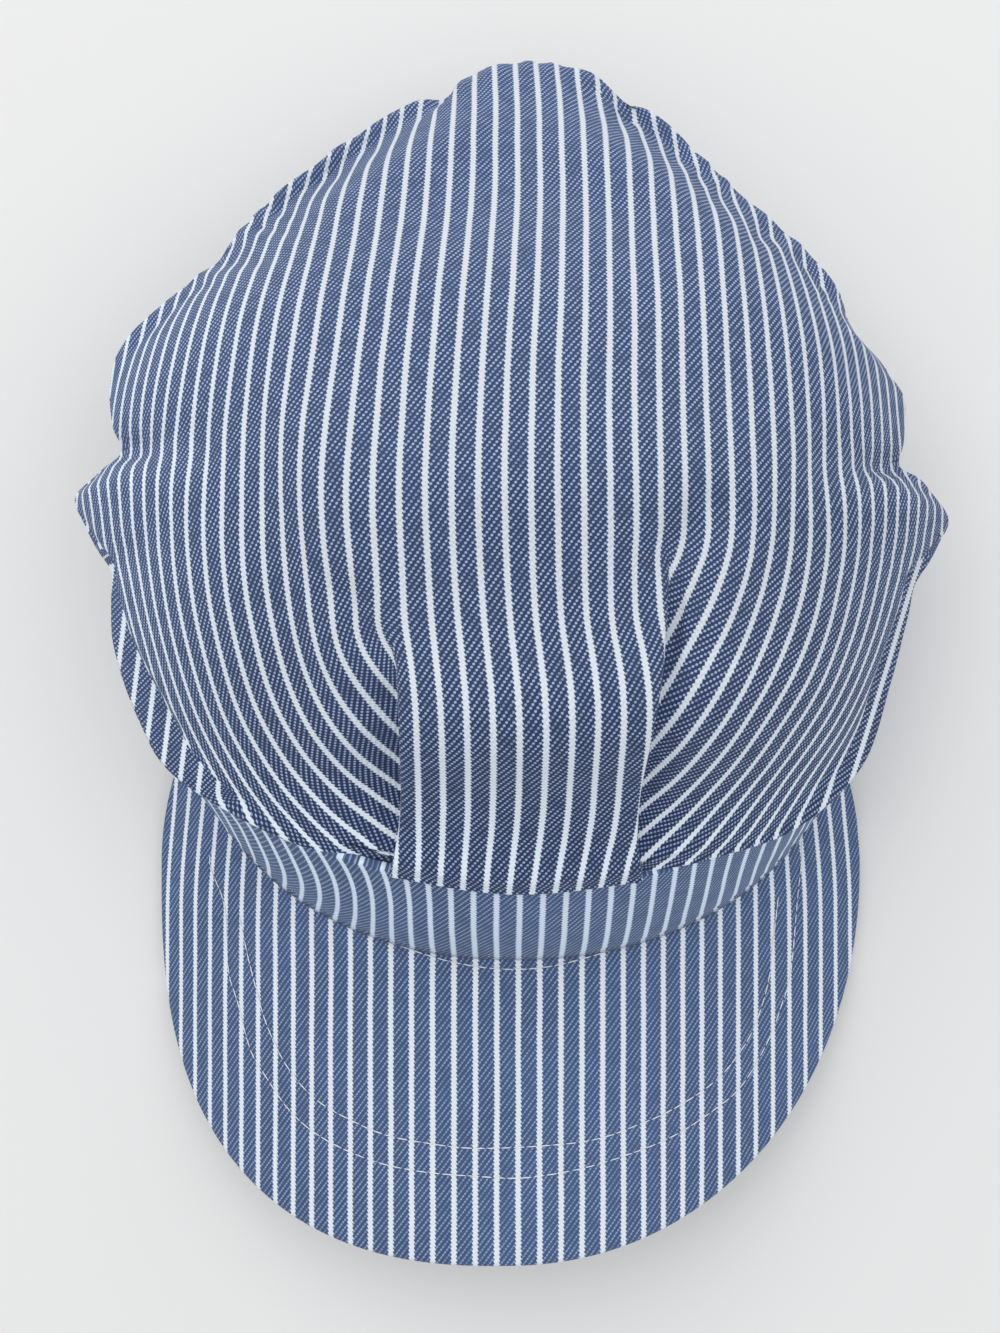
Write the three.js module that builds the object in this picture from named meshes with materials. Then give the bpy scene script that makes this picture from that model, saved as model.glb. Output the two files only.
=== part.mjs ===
import * as THREE from 'three';

// Conductor cap of striped cotton twill: a soft pleated crown, a standing band and an arched peak.
// Millimetres, +Z up, the peak points to -Y and the foot of the band rests on z = 0.

// Thickness of the cloth walls and the clearance at the seams
const CROWN_WALL = 1.5;
const BAND_WALL = 2.0;
const PEAK_WALL = 2.8;
const SEAM_GAP = 0.3;

// Foot of the band, an oval that is blunt in front and narrow behind
const FOOT = { x: 4.5, y: 0, half: 82, front: 65, back: 130, frontPower: 2.15, backPower: 1.95 };
const FOOT_BLEND = 0.3;
const BAND_BELLY = 1.2;
const FOOT_DROP_START_Y = -19;
const FOOT_DROP_END_Y = 8;

// Arch of the peak seen from the front, and its outline seen from above
const ARCH = { crestX: -3, crestZ: 31, leftFall: 0.0044, rightFall: 0.0034 };
const PEAK = { x: 2.6, y: -48, half: 85.7, length: 85.3, leftPower: 2.8, rightPower: 2.15 };
const PEAK_CORNER = { angle: 0.286, length: 72 };
const PEAK_CORNER_Y = -25;
const PEAK_UNDER_BAND = 3.0;
const PEAK_EDGE_ROUND = 0.9;
const PEAK_INNER_REACH = 1.12;
const SEAM_OVERLAP = 1.2;

// Middle of the crown, where its spokes meet
const HUB = { x: 5, y: 62 };
const CREST_X = 5;

// Cross sections of the roof of the crown: the edges left and right, their heights, the crest
// and how full each flank is
const SECTIONS = [
  { y: -50, left: -30, leftZ: 52, crest: 56, right: 36, rightZ: 49, leftFull: 2.0, rightFull: 1.6 },
  { y: -42, left: -34, leftZ: 54, crest: 60, right: 42, rightZ: 50.5, leftFull: 2.0, rightFull: 1.7 },
  { y: -35, left: -45, leftZ: 49, crest: 62, right: 60, rightZ: 41.5, leftFull: 2.0, rightFull: 1.7 },
  { y: -25, left: -51, leftZ: 47, crest: 69, right: 66, rightZ: 36, leftFull: 2.1, rightFull: 1.8 },
  { y: -15, left: -58, leftZ: 46, crest: 79, right: 72, rightZ: 39, leftFull: 2.1, rightFull: 2.1 },
  { y: -5, left: -65, leftZ: 46, crest: 82, right: 78, rightZ: 40, leftFull: 2.1, rightFull: 2.4 },
  { y: 5, left: -74, leftZ: 42, crest: 80, right: 84, rightZ: 38, leftFull: 2.4, rightFull: 2.5 },
  { y: 20, left: -85, leftZ: 36, crest: 79, right: 91, rightZ: 35, leftFull: 2.6, rightFull: 2.5 },
  { y: 35, left: -93, leftZ: 31, crest: 80, right: 96, rightZ: 32, leftFull: 2.4, rightFull: 2.4 },
  { y: 50, left: -87, leftZ: 35, crest: 76, right: 89, rightZ: 35, leftFull: 2.5, rightFull: 2.5 },
  { y: 65, left: -85, leftZ: 33, crest: 71, right: 87, rightZ: 34, leftFull: 2.6, rightFull: 2.6 },
  { y: 80, left: -71, leftZ: 33, crest: 63, right: 73, rightZ: 36, leftFull: 2.8, rightFull: 3.0 },
  { y: 95, left: -59, leftZ: 30, crest: 52, right: 63, rightZ: 33, leftFull: 2.9, rightFull: 3.1 },
  { y: 110, left: -43, leftZ: 26, crest: 43.5, right: 48, rightZ: 29, leftFull: 2.8, rightFull: 2.8 },
  { y: 125, left: -26, leftZ: 24, crest: 33, right: 33, rightZ: 25, leftFull: 2.6, rightFull: 2.6 },
  { y: 140, left: -16, leftZ: 16, crest: 23, right: 26, rightZ: 17, leftFull: 2.4, rightFull: 2.4 },
];

// Spokes of the crown from the front round by the right: the top edge of the band, the bulge of
// the lower cloth, the crease above it, the lip of the roof and how far the spoke bows in x
const SPOKES = [
  {
    name: 'front', seam: [3, -45.4, 55.2], bulge: [3, -45.9, 56.6],
    crease: [3, -44.9, 57.8], lip: [3, -43], bow: 1,
  },
  {
    name: 'right fold', seam: [28.6, -43.3, 51.4], bulge: [29, -43.8, 52.8],
    crease: [28.7, -42.9, 53.9], lip: [28.4, -41], bow: 17,
  },
  {
    name: 'right of fold', seam: [45.5, -39.7, 45.2], bulge: [46.5, -40.3, 46.4],
    crease: [45.7, -39.2, 47.6], lip: [44.6, -37], bow: 15.5,
  },
  {
    name: 'right front', seam: [62.4, -33.5, 38], bulge: [64.5, -34.8, 38.8],
    crease: [62.6, -32.3, 40.4], lip: [61, -30], bow: 13,
  },
  {
    name: 'right corner', seam: [73, -21, 35], bulge: [79.3, -21.8, 34.5],
    crease: [72, -17.5, 39.5], lip: [72.2, -15], bow: 11,
  },
  {
    name: 'right side', seam: [78, -3, 35], bulge: [85.8, -3.5, 33.5],
    crease: [79, -1.5, 38.5], lip: [80, 0], bow: 9,
  },
  {
    name: 'right ear front', seam: [79, 16, 34.5], bulge: [90.5, 13.5, 33],
    crease: [87.5, 15.5, 36], lip: [87, 17], bow: 7,
  },
  {
    name: 'right ear', seam: [78.5, 33, 34.5], bulge: [97.8, 32, 30.5],
    crease: [96.6, 32.5, 33], lip: [93.5, 33.5], bow: 5,
  },
  {
    name: 'right dip', seam: [77, 47, 34.5], bulge: [88.8, 46.5, 33],
    crease: [88.3, 46.3, 35.5], lip: [85.5, 46.3], bow: 3,
  },
  {
    name: 'right flank', seam: [73, 62, 34.5], bulge: [88.3, 61.5, 32.5],
    crease: [87.4, 61, 35], lip: [84, 60], bow: 2,
  },
  {
    name: 'right shoulder', seam: [68.5, 74, 34.3], bulge: [77.4, 73.5, 33.5],
    crease: [76.8, 73, 36], lip: [74, 71.5], bow: 1,
  },
  {
    name: 'right back', seam: [62, 86, 34], bulge: [71.2, 86.5, 34],
    crease: [70.6, 86, 36.5], lip: [68, 84.5], bow: 0,
  },
  {
    name: 'back right', seam: [44, 101.5, 31], bulge: [53, 106, 28.5],
    crease: [52, 105.5, 31], lip: [49.5, 103.5], bow: 0,
  },
  {
    name: 'back right end', seam: [23, 116, 27.5], bulge: [30, 128.3, 24.5],
    crease: [29.3, 127.4, 26.8], lip: [27.5, 124.8], bow: 0,
  },
  {
    name: 'back', seam: [4, 122, 26], bulge: [6, 138, 21.5],
    crease: [5.7, 137.2, 24], lip: [5.3, 134.2], bow: 0,
  },
  {
    name: 'back left end', seam: [-15, 116, 27.5], bulge: [-20, 128, 23.5],
    crease: [-19.4, 127, 25.8], lip: [-18, 124.5], bow: 0,
  },
  {
    name: 'back left', seam: [-36, 101.5, 31], bulge: [-48.6, 106.2, 28],
    crease: [-47.8, 105.7, 30.5], lip: [-45.5, 103.7], bow: 0,
  },
  {
    name: 'left back', seam: [-54, 86, 34], bulge: [-66.3, 86.8, 31.5],
    crease: [-65.4, 86.2, 34], lip: [-62.5, 84.5], bow: 0,
  },
  {
    name: 'left shoulder', seam: [-61, 74, 34.3], bulge: [-81.5, 72.5, 32.5],
    crease: [-80.7, 72, 35], lip: [-77.5, 70.5], bow: -0.3,
  },
  {
    name: 'left flank', seam: [-66.5, 61, 34.5], bulge: [-85.7, 62, 32],
    crease: [-84.9, 61.5, 34.5], lip: [-81.7, 60], bow: -0.5,
  },
  {
    name: 'left dip', seam: [-70.5, 47, 34.5], bulge: [-85, 47, 33.5],
    crease: [-84.4, 46.8, 36], lip: [-81.5, 46.5], bow: -1,
  },
  {
    name: 'left ear', seam: [-72.5, 34, 34.5], bulge: [-93, 36, 30],
    crease: [-92, 35.5, 32.5], lip: [-88.5, 35], bow: -2,
  },
  {
    name: 'left ear front', seam: [-73.5, 18, 34.5], bulge: [-86.6, 19, 31.5],
    crease: [-83, 21, 35.5], lip: [-83.4, 21.5], bow: -3.5,
  },
  {
    name: 'left side', seam: [-73.5, 3, 34.5], bulge: [-85, 4.5, 33],
    crease: [-71, 6.5, 40], lip: [-73, 7], bow: -5.5,
  },
  {
    name: 'left corner', seam: [-71, -11, 35.6], bulge: [-79.2, -11.5, 34.6],
    crease: [-60.5, -8, 44.5], lip: [-62.5, -8], bow: -7.5,
  },
  {
    name: 'left front', seam: [-65.5, -24.5, 40], bulge: [-69.5, -23.8, 40.6],
    crease: [-52.5, -20, 46.5], lip: [-54, -20], bow: -9.5,
  },
  {
    name: 'left of fold', seam: [-44.5, -35.8, 47.6], bulge: [-45.4, -36.4, 48.8],
    crease: [-44, -34.6, 50.2], lip: [-43, -32.5], bow: -11.5,
  },
  {
    name: 'left fold', seam: [-22.3, -42, 52.9], bulge: [-22.5, -42.5, 54.3],
    crease: [-22.1, -41.6, 55.4], lip: [-21.6, -39.6], bow: -12.6,
  },
];

// Pleats beside the front panel: the spoke they follow, the side of it that lies lower, where
// along the spoke they start, how deep they are and how far the drop reaches, in spokes
const PLEATS = [
  { name: 'right pleat', spoke: 'right fold', side: 1, start: 0.36, full: 0.62, depth: 4.5, reach: 1.3 },
  { name: 'left pleat', spoke: 'left fold', side: -1, start: 0.55, full: 0.76, depth: 4.5, reach: 1.3 },
];
const PLEAT_WALL = 0.12;
const PLEAT_FADE_START = 0.9;
const spokeIndex = (name) => SPOKES.findIndex((row) => row.name === name);

// Folds and dents of the roof: a line from one end to the other, its half width and its height
const FOLDS = [
  { name: 'left ear valley', from: [-86, 48], to: [-62, 45], wide: 4.5, high: -3.0 },
  { name: 'right ear valley', from: [90, 44], to: [66, 41], wide: 4.5, high: -2.6 },
  { name: 'left ear ridge', from: [-90, 35], to: [-66, 36], wide: 5, high: 1.6 },
  { name: 'right ear ridge', from: [94, 31], to: [70, 32], wide: 5, high: 1.6 },
  { name: 'back right valley', from: [24, 127], to: [56, 94], wide: 4, high: -2.6 },
  { name: 'back right roll', from: [18, 110], to: [46, 92], wide: 6, high: 1.4 },
  { name: 'back left valley', from: [-20, 124], to: [-46, 96], wide: 5, high: -2.2 },
  { name: 'back left roll', from: [-8, 116], to: [-34, 98], wide: 5, high: 1.3 },
  { name: 'left roof wave', from: [-33, 44], to: [-26, 20], wide: 6, high: 1.2 },
  { name: 'left roof dip', from: [-46, 44], to: [-40, 14], wide: 7, high: -1.4 },
  { name: 'mid roof dip', from: [-12, 12], to: [22, 12], wide: 8, high: -1.6 },
  { name: 'right pleat head', from: [33, 27], to: [28, 12], wide: 4.5, high: -1.8 },
  { name: 'front brow', from: [-12, -9], to: [22, -9], wide: 6, high: 1.2 },
];

// How finely each piece is divided
const COLUMNS_PER_SPOKE = 3;
const ROOF_STEPS = [0.965, 0.91, 0.84, 0.76, 0.67, 0.58, 0.49, 0.4, 0.31, 0.22, 0.12];
const EDGE_STEPS = 2;
const BAND_COLUMNS = 96;
const BAND_RINGS = 4;
const PEAK_COLUMNS = 56;
const PEAK_ROWS = 8;

const CLOTH = { crown: 0x3d5578, band: 0x44597a, peak: 0x3f567a };
const CLOTH_ROUGHNESS = 0.92;

const clamp01 = (v) => Math.min(1, Math.max(0, v));

function smooth(from, to, v) {
  const t = clamp01((v - from) / (to - from));
  return t * t * (3 - 2 * t);
}

// Smooth curve through four neighbouring values
function cubic(a, b, c, d, t) {
  const startSlope = (c - a) / 2;
  const endSlope = (d - b) / 2;
  const t2 = t * t;
  const t3 = t2 * t;
  return (2 * t3 - 3 * t2 + 1) * b + (t3 - 2 * t2 + t) * startSlope
    + (3 * t2 - 2 * t3) * c + (t3 - t2) * endSlope;
}

// One column of the cross sections at a given y
function sectionAt(column, y) {
  const last = SECTIONS.length - 1;
  let k = 0;
  while (k < last - 1 && SECTIONS[k + 1].y <= y) {
    k += 1;
  }
  const row = (i) => SECTIONS[Math.min(last, Math.max(0, i))];
  const b = row(k);
  const c = row(k + 1);
  const width = c.y - b.y;
  const t = clamp01((y - b.y) / width);
  const slope = (i) => {
    const p = row(i - 1);
    const q = row(i + 1);
    return (q[column] - p[column]) / (q.y - p.y) * width;
  };
  const t2 = t * t;
  const t3 = t2 * t;
  return (2 * t3 - 3 * t2 + 1) * b[column] + (t3 - 2 * t2 + t) * slope(k)
    + (3 * t2 - 2 * t3) * c[column] + (t3 - t2) * slope(k + 1);
}

// Height of the folds and dents at a point
function foldHeight(x, y) {
  let sum = 0;
  for (const fold of FOLDS) {
    const dx = fold.to[0] - fold.from[0];
    const dy = fold.to[1] - fold.from[1];
    const along = clamp01(((x - fold.from[0]) * dx + (y - fold.from[1]) * dy) / (dx * dx + dy * dy));
    const offX = x - fold.from[0] - along * dx;
    const offY = y - fold.from[1] - along * dy;
    sum += fold.high * Math.exp(-(offX * offX + offY * offY) / (2 * fold.wide * fold.wide));
  }
  return sum;
}

// Height of the roof of the crown before its pleats
function roofHeight(x, y) {
  const left = x < CREST_X;
  const edge = sectionAt(left ? 'left' : 'right', y);
  const edgeZ = sectionAt(left ? 'leftZ' : 'rightZ', y);
  const full = sectionAt(left ? 'leftFull' : 'rightFull', y);
  const crest = sectionAt('crest', y);
  const out = Math.abs((x - CREST_X) / (edge - CREST_X));
  return crest - (crest - edgeZ) * Math.pow(out, full) + foldHeight(x, y);
}

// A spoke at any place round the crown
function spokeAt(place) {
  const count = SPOKES.length;
  const k = Math.floor(place);
  const t = place - k;
  const row = (i) => SPOKES[(((k + i) % count) + count) % count];
  const rows = [row(-1), row(0), row(1), row(2)];
  const mix = (pick) => cubic(pick(rows[0]), pick(rows[1]), pick(rows[2]), pick(rows[3]), t);
  const point = (key) => new THREE.Vector3(
    mix((r) => r[key][0]),
    mix((r) => r[key][1]),
    key === 'lip' ? 0 : mix((r) => r[key][2]),
  );
  return {
    seam: point('seam'), bulge: point('bulge'), crease: point('crease'), lip: point('lip'),
    bow: mix((r) => r.bow),
  };
}

// How far the pleats lower the cloth, at a place round the crown and a share of the spoke
function pleatDrop(place, share) {
  const count = SPOKES.length;
  let drop = 0;
  for (const pleat of PLEATS) {
    let off = (place - spokeIndex(pleat.spoke)) * pleat.side;
    off -= count * Math.round(off / count);
    if (off > 0) {
      const grown = smooth(pleat.start, pleat.full, share) * (1 - smooth(PLEAT_FADE_START, 1, share));
      drop += pleat.depth * grown * smooth(0, PLEAT_WALL, off) * Math.exp(-off / pleat.reach);
    }
  }
  return drop;
}

const BOW_PEAK = 6.75;

// A point of the roof at a share of the way from the hub to the lip
function roofPoint(place, spoke, share) {
  const bend = spoke.bow * BOW_PEAK * share * (1 - share) * (1 - share);
  const x = HUB.x + share * (spoke.lip.x - HUB.x) + bend;
  const y = HUB.y + share * (spoke.lip.y - HUB.y);
  return new THREE.Vector3(x, y, roofHeight(x, y) - pleatDrop(place, share));
}

// Moves a point of the seam inwards, level, by a distance
function inwards(point, distance) {
  const d = new THREE.Vector3(HUB.x - point.x, HUB.y - point.y, 0).normalize();
  return point.clone().addScaledVector(d, distance);
}

// The outer line of the crown at one place, from its seam with the band to the roof
function crownLine(place) {
  const spoke = spokeAt(place);
  const start = inwards(spoke.seam, SEAM_OVERLAP);
  start.z += SEAM_GAP;
  const over = spoke.seam.clone();
  over.z += SEAM_GAP;
  const lip = roofPoint(place, spoke, 1);
  const guide = [start, over, spoke.bulge, spoke.crease, lip, roofPoint(place, spoke, ROOF_STEPS[0])];
  const curve = new THREE.CatmullRomCurve3(guide, false, 'centripetal');
  const line = [start, over];
  const parts = guide.length - 1;
  for (let i = 1; i < parts - 1; i += 1) {
    for (let j = 1; j <= EDGE_STEPS; j += 1) {
      line.push(curve.getPoint((i + j / EDGE_STEPS) / parts));
    }
  }
  for (const share of ROOF_STEPS) {
    line.push(roofPoint(place, spoke, share));
  }
  return line;
}

// Places of the columns round the crown, with extra ones at the wall of each pleat
function crownPlaces() {
  const places = [];
  for (let i = 0; i < SPOKES.length * COLUMNS_PER_SPOKE; i += 1) {
    places.push(i / COLUMNS_PER_SPOKE);
  }
  for (const pleat of PLEATS) {
    places.push(spokeIndex(pleat.spoke) + pleat.side * PLEAT_WALL);
  }
  return places.sort((a, b) => a - b);
}

// Turns lists of points and triangles into a geometry with its faces pointing out
function solid(points, triangles) {
  const position = new Float32Array(points.length * 3);
  points.forEach((p, i) => p.toArray(position, i * 3));
  let volume = 0;
  for (const [a, b, c] of triangles) {
    volume += points[a].dot(new THREE.Vector3().crossVectors(points[b], points[c]));
  }
  const index = [];
  for (const [a, b, c] of triangles) {
    index.push(a, volume > 0 ? b : c, volume > 0 ? c : b);
  }
  const geometry = new THREE.BufferGeometry();
  geometry.setAttribute('position', new THREE.BufferAttribute(position, 3));
  geometry.setIndex(index);
  geometry.computeVertexNormals();
  return geometry;
}

// Normals of a grid of points whose columns run round in a ring
function gridNormals(grid) {
  const count = grid.length;
  return grid.map((column, i) => column.map((point, j) => {
    const next = grid[(i + 1) % count][j];
    const before = grid[(i + count - 1) % count][j];
    const up = column[Math.min(column.length - 1, j + 1)];
    const down = column[Math.max(0, j - 1)];
    const round = next.clone().sub(before);
    const rise = up.clone().sub(down);
    return round.cross(rise).normalize();
  }));
}

// Soft crown: one wall from the seam out over the bulge and the lip and up to the roof
function crownGeometry() {
  const outer = crownPlaces().map(crownLine);
  const normals = gridNormals(outer);
  const inner = outer.map((column, i) => column.map(
    (point, j) => point.clone().addScaledVector(normals[i][j], -CROWN_WALL),
  ));
  const count = outer.length;
  const rings = outer[0].length;
  const points = [];
  const id = (side, i, j) => side * count * rings + (i % count) * rings + j;
  for (const grid of [outer, inner]) {
    for (const column of grid) {
      points.push(...column);
    }
  }
  const hubZ = roofHeight(HUB.x, HUB.y);
  const top = points.push(new THREE.Vector3(HUB.x, HUB.y, hubZ)) - 1;
  const under = points.push(new THREE.Vector3(HUB.x, HUB.y, hubZ - CROWN_WALL)) - 1;
  const triangles = [];
  const quad = (a, b, c, d) => triangles.push([a, b, c], [a, c, d]);
  for (let i = 0; i < count; i += 1) {
    for (let j = 0; j < rings - 1; j += 1) {
      quad(id(0, i, j), id(0, i + 1, j), id(0, i + 1, j + 1), id(0, i, j + 1));
      quad(id(1, i, j), id(1, i, j + 1), id(1, i + 1, j + 1), id(1, i + 1, j));
    }
    quad(id(0, i, 0), id(1, i, 0), id(1, i + 1, 0), id(0, i + 1, 0));
    triangles.push([id(0, i, rings - 1), id(0, i + 1, rings - 1), top]);
    triangles.push([id(1, i, rings - 1), under, id(1, i + 1, rings - 1)]);
  }
  return solid(points, triangles);
}

// A point of the foot oval in a direction, drawn in by a distance
function footPoint(angle, drawnIn) {
  const dx = Math.cos(angle);
  const dy = Math.sin(angle);
  const reach = dy < 0 ? FOOT.front : FOOT.back;
  const behind = smooth(-FOOT_BLEND, FOOT_BLEND, dy);
  const power = FOOT.frontPower + (FOOT.backPower - FOOT.frontPower) * behind;
  const scale = Math.pow(
    Math.pow(Math.abs(dx) / FOOT.half, power) + Math.pow(Math.abs(dy) / reach, power),
    -1 / power,
  ) - drawnIn;
  return new THREE.Vector3(FOOT.x + dx * scale, FOOT.y + dy * scale, 0);
}

// Height of the top of the peak
function archHeight(x) {
  const off = x - ARCH.crestX;
  return ARCH.crestZ - (off < 0 ? ARCH.leftFall : ARCH.rightFall) * off * off;
}

// Height of the foot of the band: on the peak in front, on the floor behind
function footHeight(x, y) {
  return (archHeight(x) + SEAM_GAP) * (1 - smooth(FOOT_DROP_START_Y, FOOT_DROP_END_Y, y));
}

// Band: a standing strip between the foot oval and the seam of the crown
function bandGeometry() {
  const outer = [];
  const inner = [];
  for (let i = 0; i < BAND_COLUMNS; i += 1) {
    const seam = spokeAt(i * SPOKES.length / BAND_COLUMNS).seam;
    const angle = Math.atan2(seam.y - FOOT.y, seam.x - FOOT.x);
    const foot = footPoint(angle, 0);
    foot.z = footHeight(foot.x, foot.y);
    const out = new THREE.Vector3(Math.cos(angle), Math.sin(angle), 0);
    const rise = seam.clone().sub(foot).normalize();
    const normal = out.clone().addScaledVector(rise, -out.dot(rise)).normalize();
    const outerColumn = [];
    const innerColumn = [];
    for (let j = 0; j <= BAND_RINGS; j += 1) {
      const t = j / BAND_RINGS;
      const p = foot.clone().lerp(seam, t).addScaledVector(normal, BAND_BELLY * Math.sin(Math.PI * t));
      outerColumn.push(p);
      const q = p.clone();
      if (j === 0) {
        q.copy(footPoint(angle, BAND_WALL));
        q.z = footHeight(q.x, q.y);
      } else if (j === BAND_RINGS) {
        q.copy(inwards(p, BAND_WALL));
      } else {
        q.addScaledVector(normal, -BAND_WALL);
      }
      innerColumn.push(q);
    }
    outer.push(outerColumn);
    inner.push(innerColumn);
  }
  const rings = BAND_RINGS + 1;
  const points = [];
  for (const grid of [outer, inner]) {
    for (const column of grid) {
      points.push(...column);
    }
  }
  const id = (side, i, j) => side * BAND_COLUMNS * rings + (i % BAND_COLUMNS) * rings + j;
  const triangles = [];
  const quad = (a, b, c, d) => triangles.push([a, b, c], [a, c, d]);
  const topRing = rings - 1;
  for (let i = 0; i < BAND_COLUMNS; i += 1) {
    for (let j = 0; j < topRing; j += 1) {
      quad(id(0, i, j), id(0, i + 1, j), id(0, i + 1, j + 1), id(0, i, j + 1));
      quad(id(1, i, j), id(1, i, j + 1), id(1, i + 1, j + 1), id(1, i + 1, j));
    }
    quad(id(0, i, 0), id(1, i, 0), id(1, i + 1, 0), id(0, i + 1, 0));
    quad(id(0, i, topRing), id(0, i + 1, topRing), id(1, i + 1, topRing), id(1, i, topRing));
  }
  return solid(points, triangles);
}

// A point of the outer edge of the peak, from the left corner (0) to the right corner (1)
function peakEdge(share) {
  const angle = Math.PI - PEAK_CORNER.angle + share * (Math.PI + 2 * PEAK_CORNER.angle);
  const c = Math.cos(angle);
  const s = Math.sin(angle);
  const behind = s > 0;
  const front = c < 0 ? PEAK.leftPower : PEAK.rightPower;
  const power = behind ? 2 : front;
  const x = PEAK.x + PEAK.half * Math.sign(c) * Math.pow(Math.abs(c), 2 / power);
  const reach = behind ? PEAK_CORNER.length : -PEAK.length;
  const y = PEAK.y + reach * Math.pow(Math.abs(s), 2 / power);
  return new THREE.Vector2(x, y);
}

// A point of the inner edge of the peak, under the front of the band
function peakInner(share) {
  const half = Math.acos(-PEAK_CORNER_Y / FOOT.front) * PEAK_INNER_REACH;
  const angle = -Math.PI / 2 + (share * 2 - 1) * half;
  const p = footPoint(angle, PEAK_UNDER_BAND);
  return new THREE.Vector2(p.x, p.y);
}

// Point on the top of the peak, lowered square to the arch by a distance
function archPoint(x, y, lowered) {
  const off = x - ARCH.crestX;
  const slope = -2 * (off < 0 ? ARCH.leftFall : ARCH.rightFall) * off;
  const n = new THREE.Vector3(-slope, 0, 1).normalize();
  return new THREE.Vector3(x, y, archHeight(x)).addScaledVector(n, -lowered);
}

// Peak: a stiff sheet bent to an arch, with rounded edges
function peakGeometry() {
  const loops = [];
  for (let i = 0; i <= PEAK_COLUMNS; i += 1) {
    const share = i / PEAK_COLUMNS;
    const a = peakInner(share);
    const b = peakEdge(share);
    const length = a.distanceTo(b);
    const at = (distance, lowered) => {
      const p = a.clone().lerp(b, distance / length);
      return archPoint(p.x, p.y, lowered);
    };
    const loop = [];
    const span = length - PEAK_EDGE_ROUND;
    for (let j = 0; j <= PEAK_ROWS; j += 1) {
      loop.push(at(span * j / PEAK_ROWS, 0));
    }
    loop.push(at(length, PEAK_WALL / 2));
    for (let j = PEAK_ROWS; j >= 0; j -= 1) {
      loop.push(at(span * j / PEAK_ROWS, PEAK_WALL));
    }
    loops.push(loop);
  }
  const size = loops[0].length;
  const points = loops.flat();
  const triangles = [];
  const id = (i, j) => i * size + (j % size);
  for (let i = 0; i < PEAK_COLUMNS; i += 1) {
    for (let j = 0; j < size; j += 1) {
      triangles.push([id(i, j), id(i, j + 1), id(i + 1, j + 1)]);
      triangles.push([id(i, j), id(i + 1, j + 1), id(i + 1, j)]);
    }
  }
  for (const [i, flip] of [[0, false], [PEAK_COLUMNS, true]]) {
    for (let j = 0; j < size / 2 - 1; j += 1) {
      const a = id(i, j);
      const b = id(i, j + 1);
      const c = id(i, size - 2 - j);
      const d = id(i, size - 1 - j);
      const faces = b === c ? [[a, d, b]] : [[a, d, b], [b, d, c]];
      for (const [p, q, r] of faces) {
        triangles.push(flip ? [p, r, q] : [p, q, r]);
      }
    }
  }
  return solid(points, triangles);
}

const pieces = { crown: crownGeometry(), band: bandGeometry(), peak: peakGeometry() };

// The origin is the middle of the bottom of the box round the whole cap
const box = new THREE.Box3();
for (const geometry of Object.values(pieces)) {
  geometry.computeBoundingBox();
  box.union(geometry.boundingBox);
}
const centre = box.getCenter(new THREE.Vector3());

const cap = new THREE.Group();
cap.name = 'conductor_cap';
for (const [name, geometry] of Object.entries(pieces)) {
  geometry.translate(-centre.x, -centre.y, -box.min.z);
  const material = new THREE.MeshStandardMaterial({
    color: CLOTH[name],
    roughness: CLOTH_ROUGHNESS,
    metalness: 0,
  });
  const mesh = new THREE.Mesh(geometry, material);
  mesh.name = name;
  cap.add(mesh);
}

export default cap;
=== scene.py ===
import math

import bpy
import numpy as np
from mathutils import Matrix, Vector


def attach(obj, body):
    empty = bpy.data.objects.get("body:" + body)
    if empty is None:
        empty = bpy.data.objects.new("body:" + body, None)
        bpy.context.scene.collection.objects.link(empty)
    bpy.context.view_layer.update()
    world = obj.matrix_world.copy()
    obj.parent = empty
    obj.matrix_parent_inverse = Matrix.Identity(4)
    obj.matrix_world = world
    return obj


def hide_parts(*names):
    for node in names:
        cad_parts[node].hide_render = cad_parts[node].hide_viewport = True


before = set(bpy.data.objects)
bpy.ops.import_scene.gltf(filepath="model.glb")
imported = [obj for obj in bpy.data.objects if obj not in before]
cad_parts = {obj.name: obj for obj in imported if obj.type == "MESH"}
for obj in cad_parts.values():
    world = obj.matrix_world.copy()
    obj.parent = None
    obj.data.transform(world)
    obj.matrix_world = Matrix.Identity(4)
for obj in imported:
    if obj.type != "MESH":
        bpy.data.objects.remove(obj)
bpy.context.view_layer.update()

bl_info = {
    "name": "Striped Conductor Cap",
    "version": (1, 0, 0),
    "blender": (4, 5, 0),
    "location": "3D View > Sidebar > Cap",
    "description": "Dresses the cap in striped twill with its pleats, gathers and stitching",
    "category": "Object",
}

# Tables are in millimetres, with the middle of the face at the origin; the frame's own origin
# is the middle of the box round the cap.
FRAME_MIDDLE = (2.378, 2.429)
EYE_HEIGHT = 310.0

# Foot of the band, the arch of the peak and the peak's outline
FOOT = dict(x=4.5, half=82.0, front=65.0, back=130.0, front_power=2.15, back_power=1.95, blend=0.3)
FOOT_DROP = (-19.0, 8.0)
ARCH = dict(crest_x=-3.0, crest_z=31.0, left_fall=0.0044, right_fall=0.0034)
PEAK = dict(x=2.6, y=-48.0, half=85.7, length=85.3, left_power=2.8, right_power=2.15)
PEAK_CORNER = dict(angle=0.286, length=72.0, y=-25.0)
SEAM_GAP = 0.3
HUB = (5.0, 62.0)
CREST_X = 5.0
BOW_PEAK = 6.75

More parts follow.
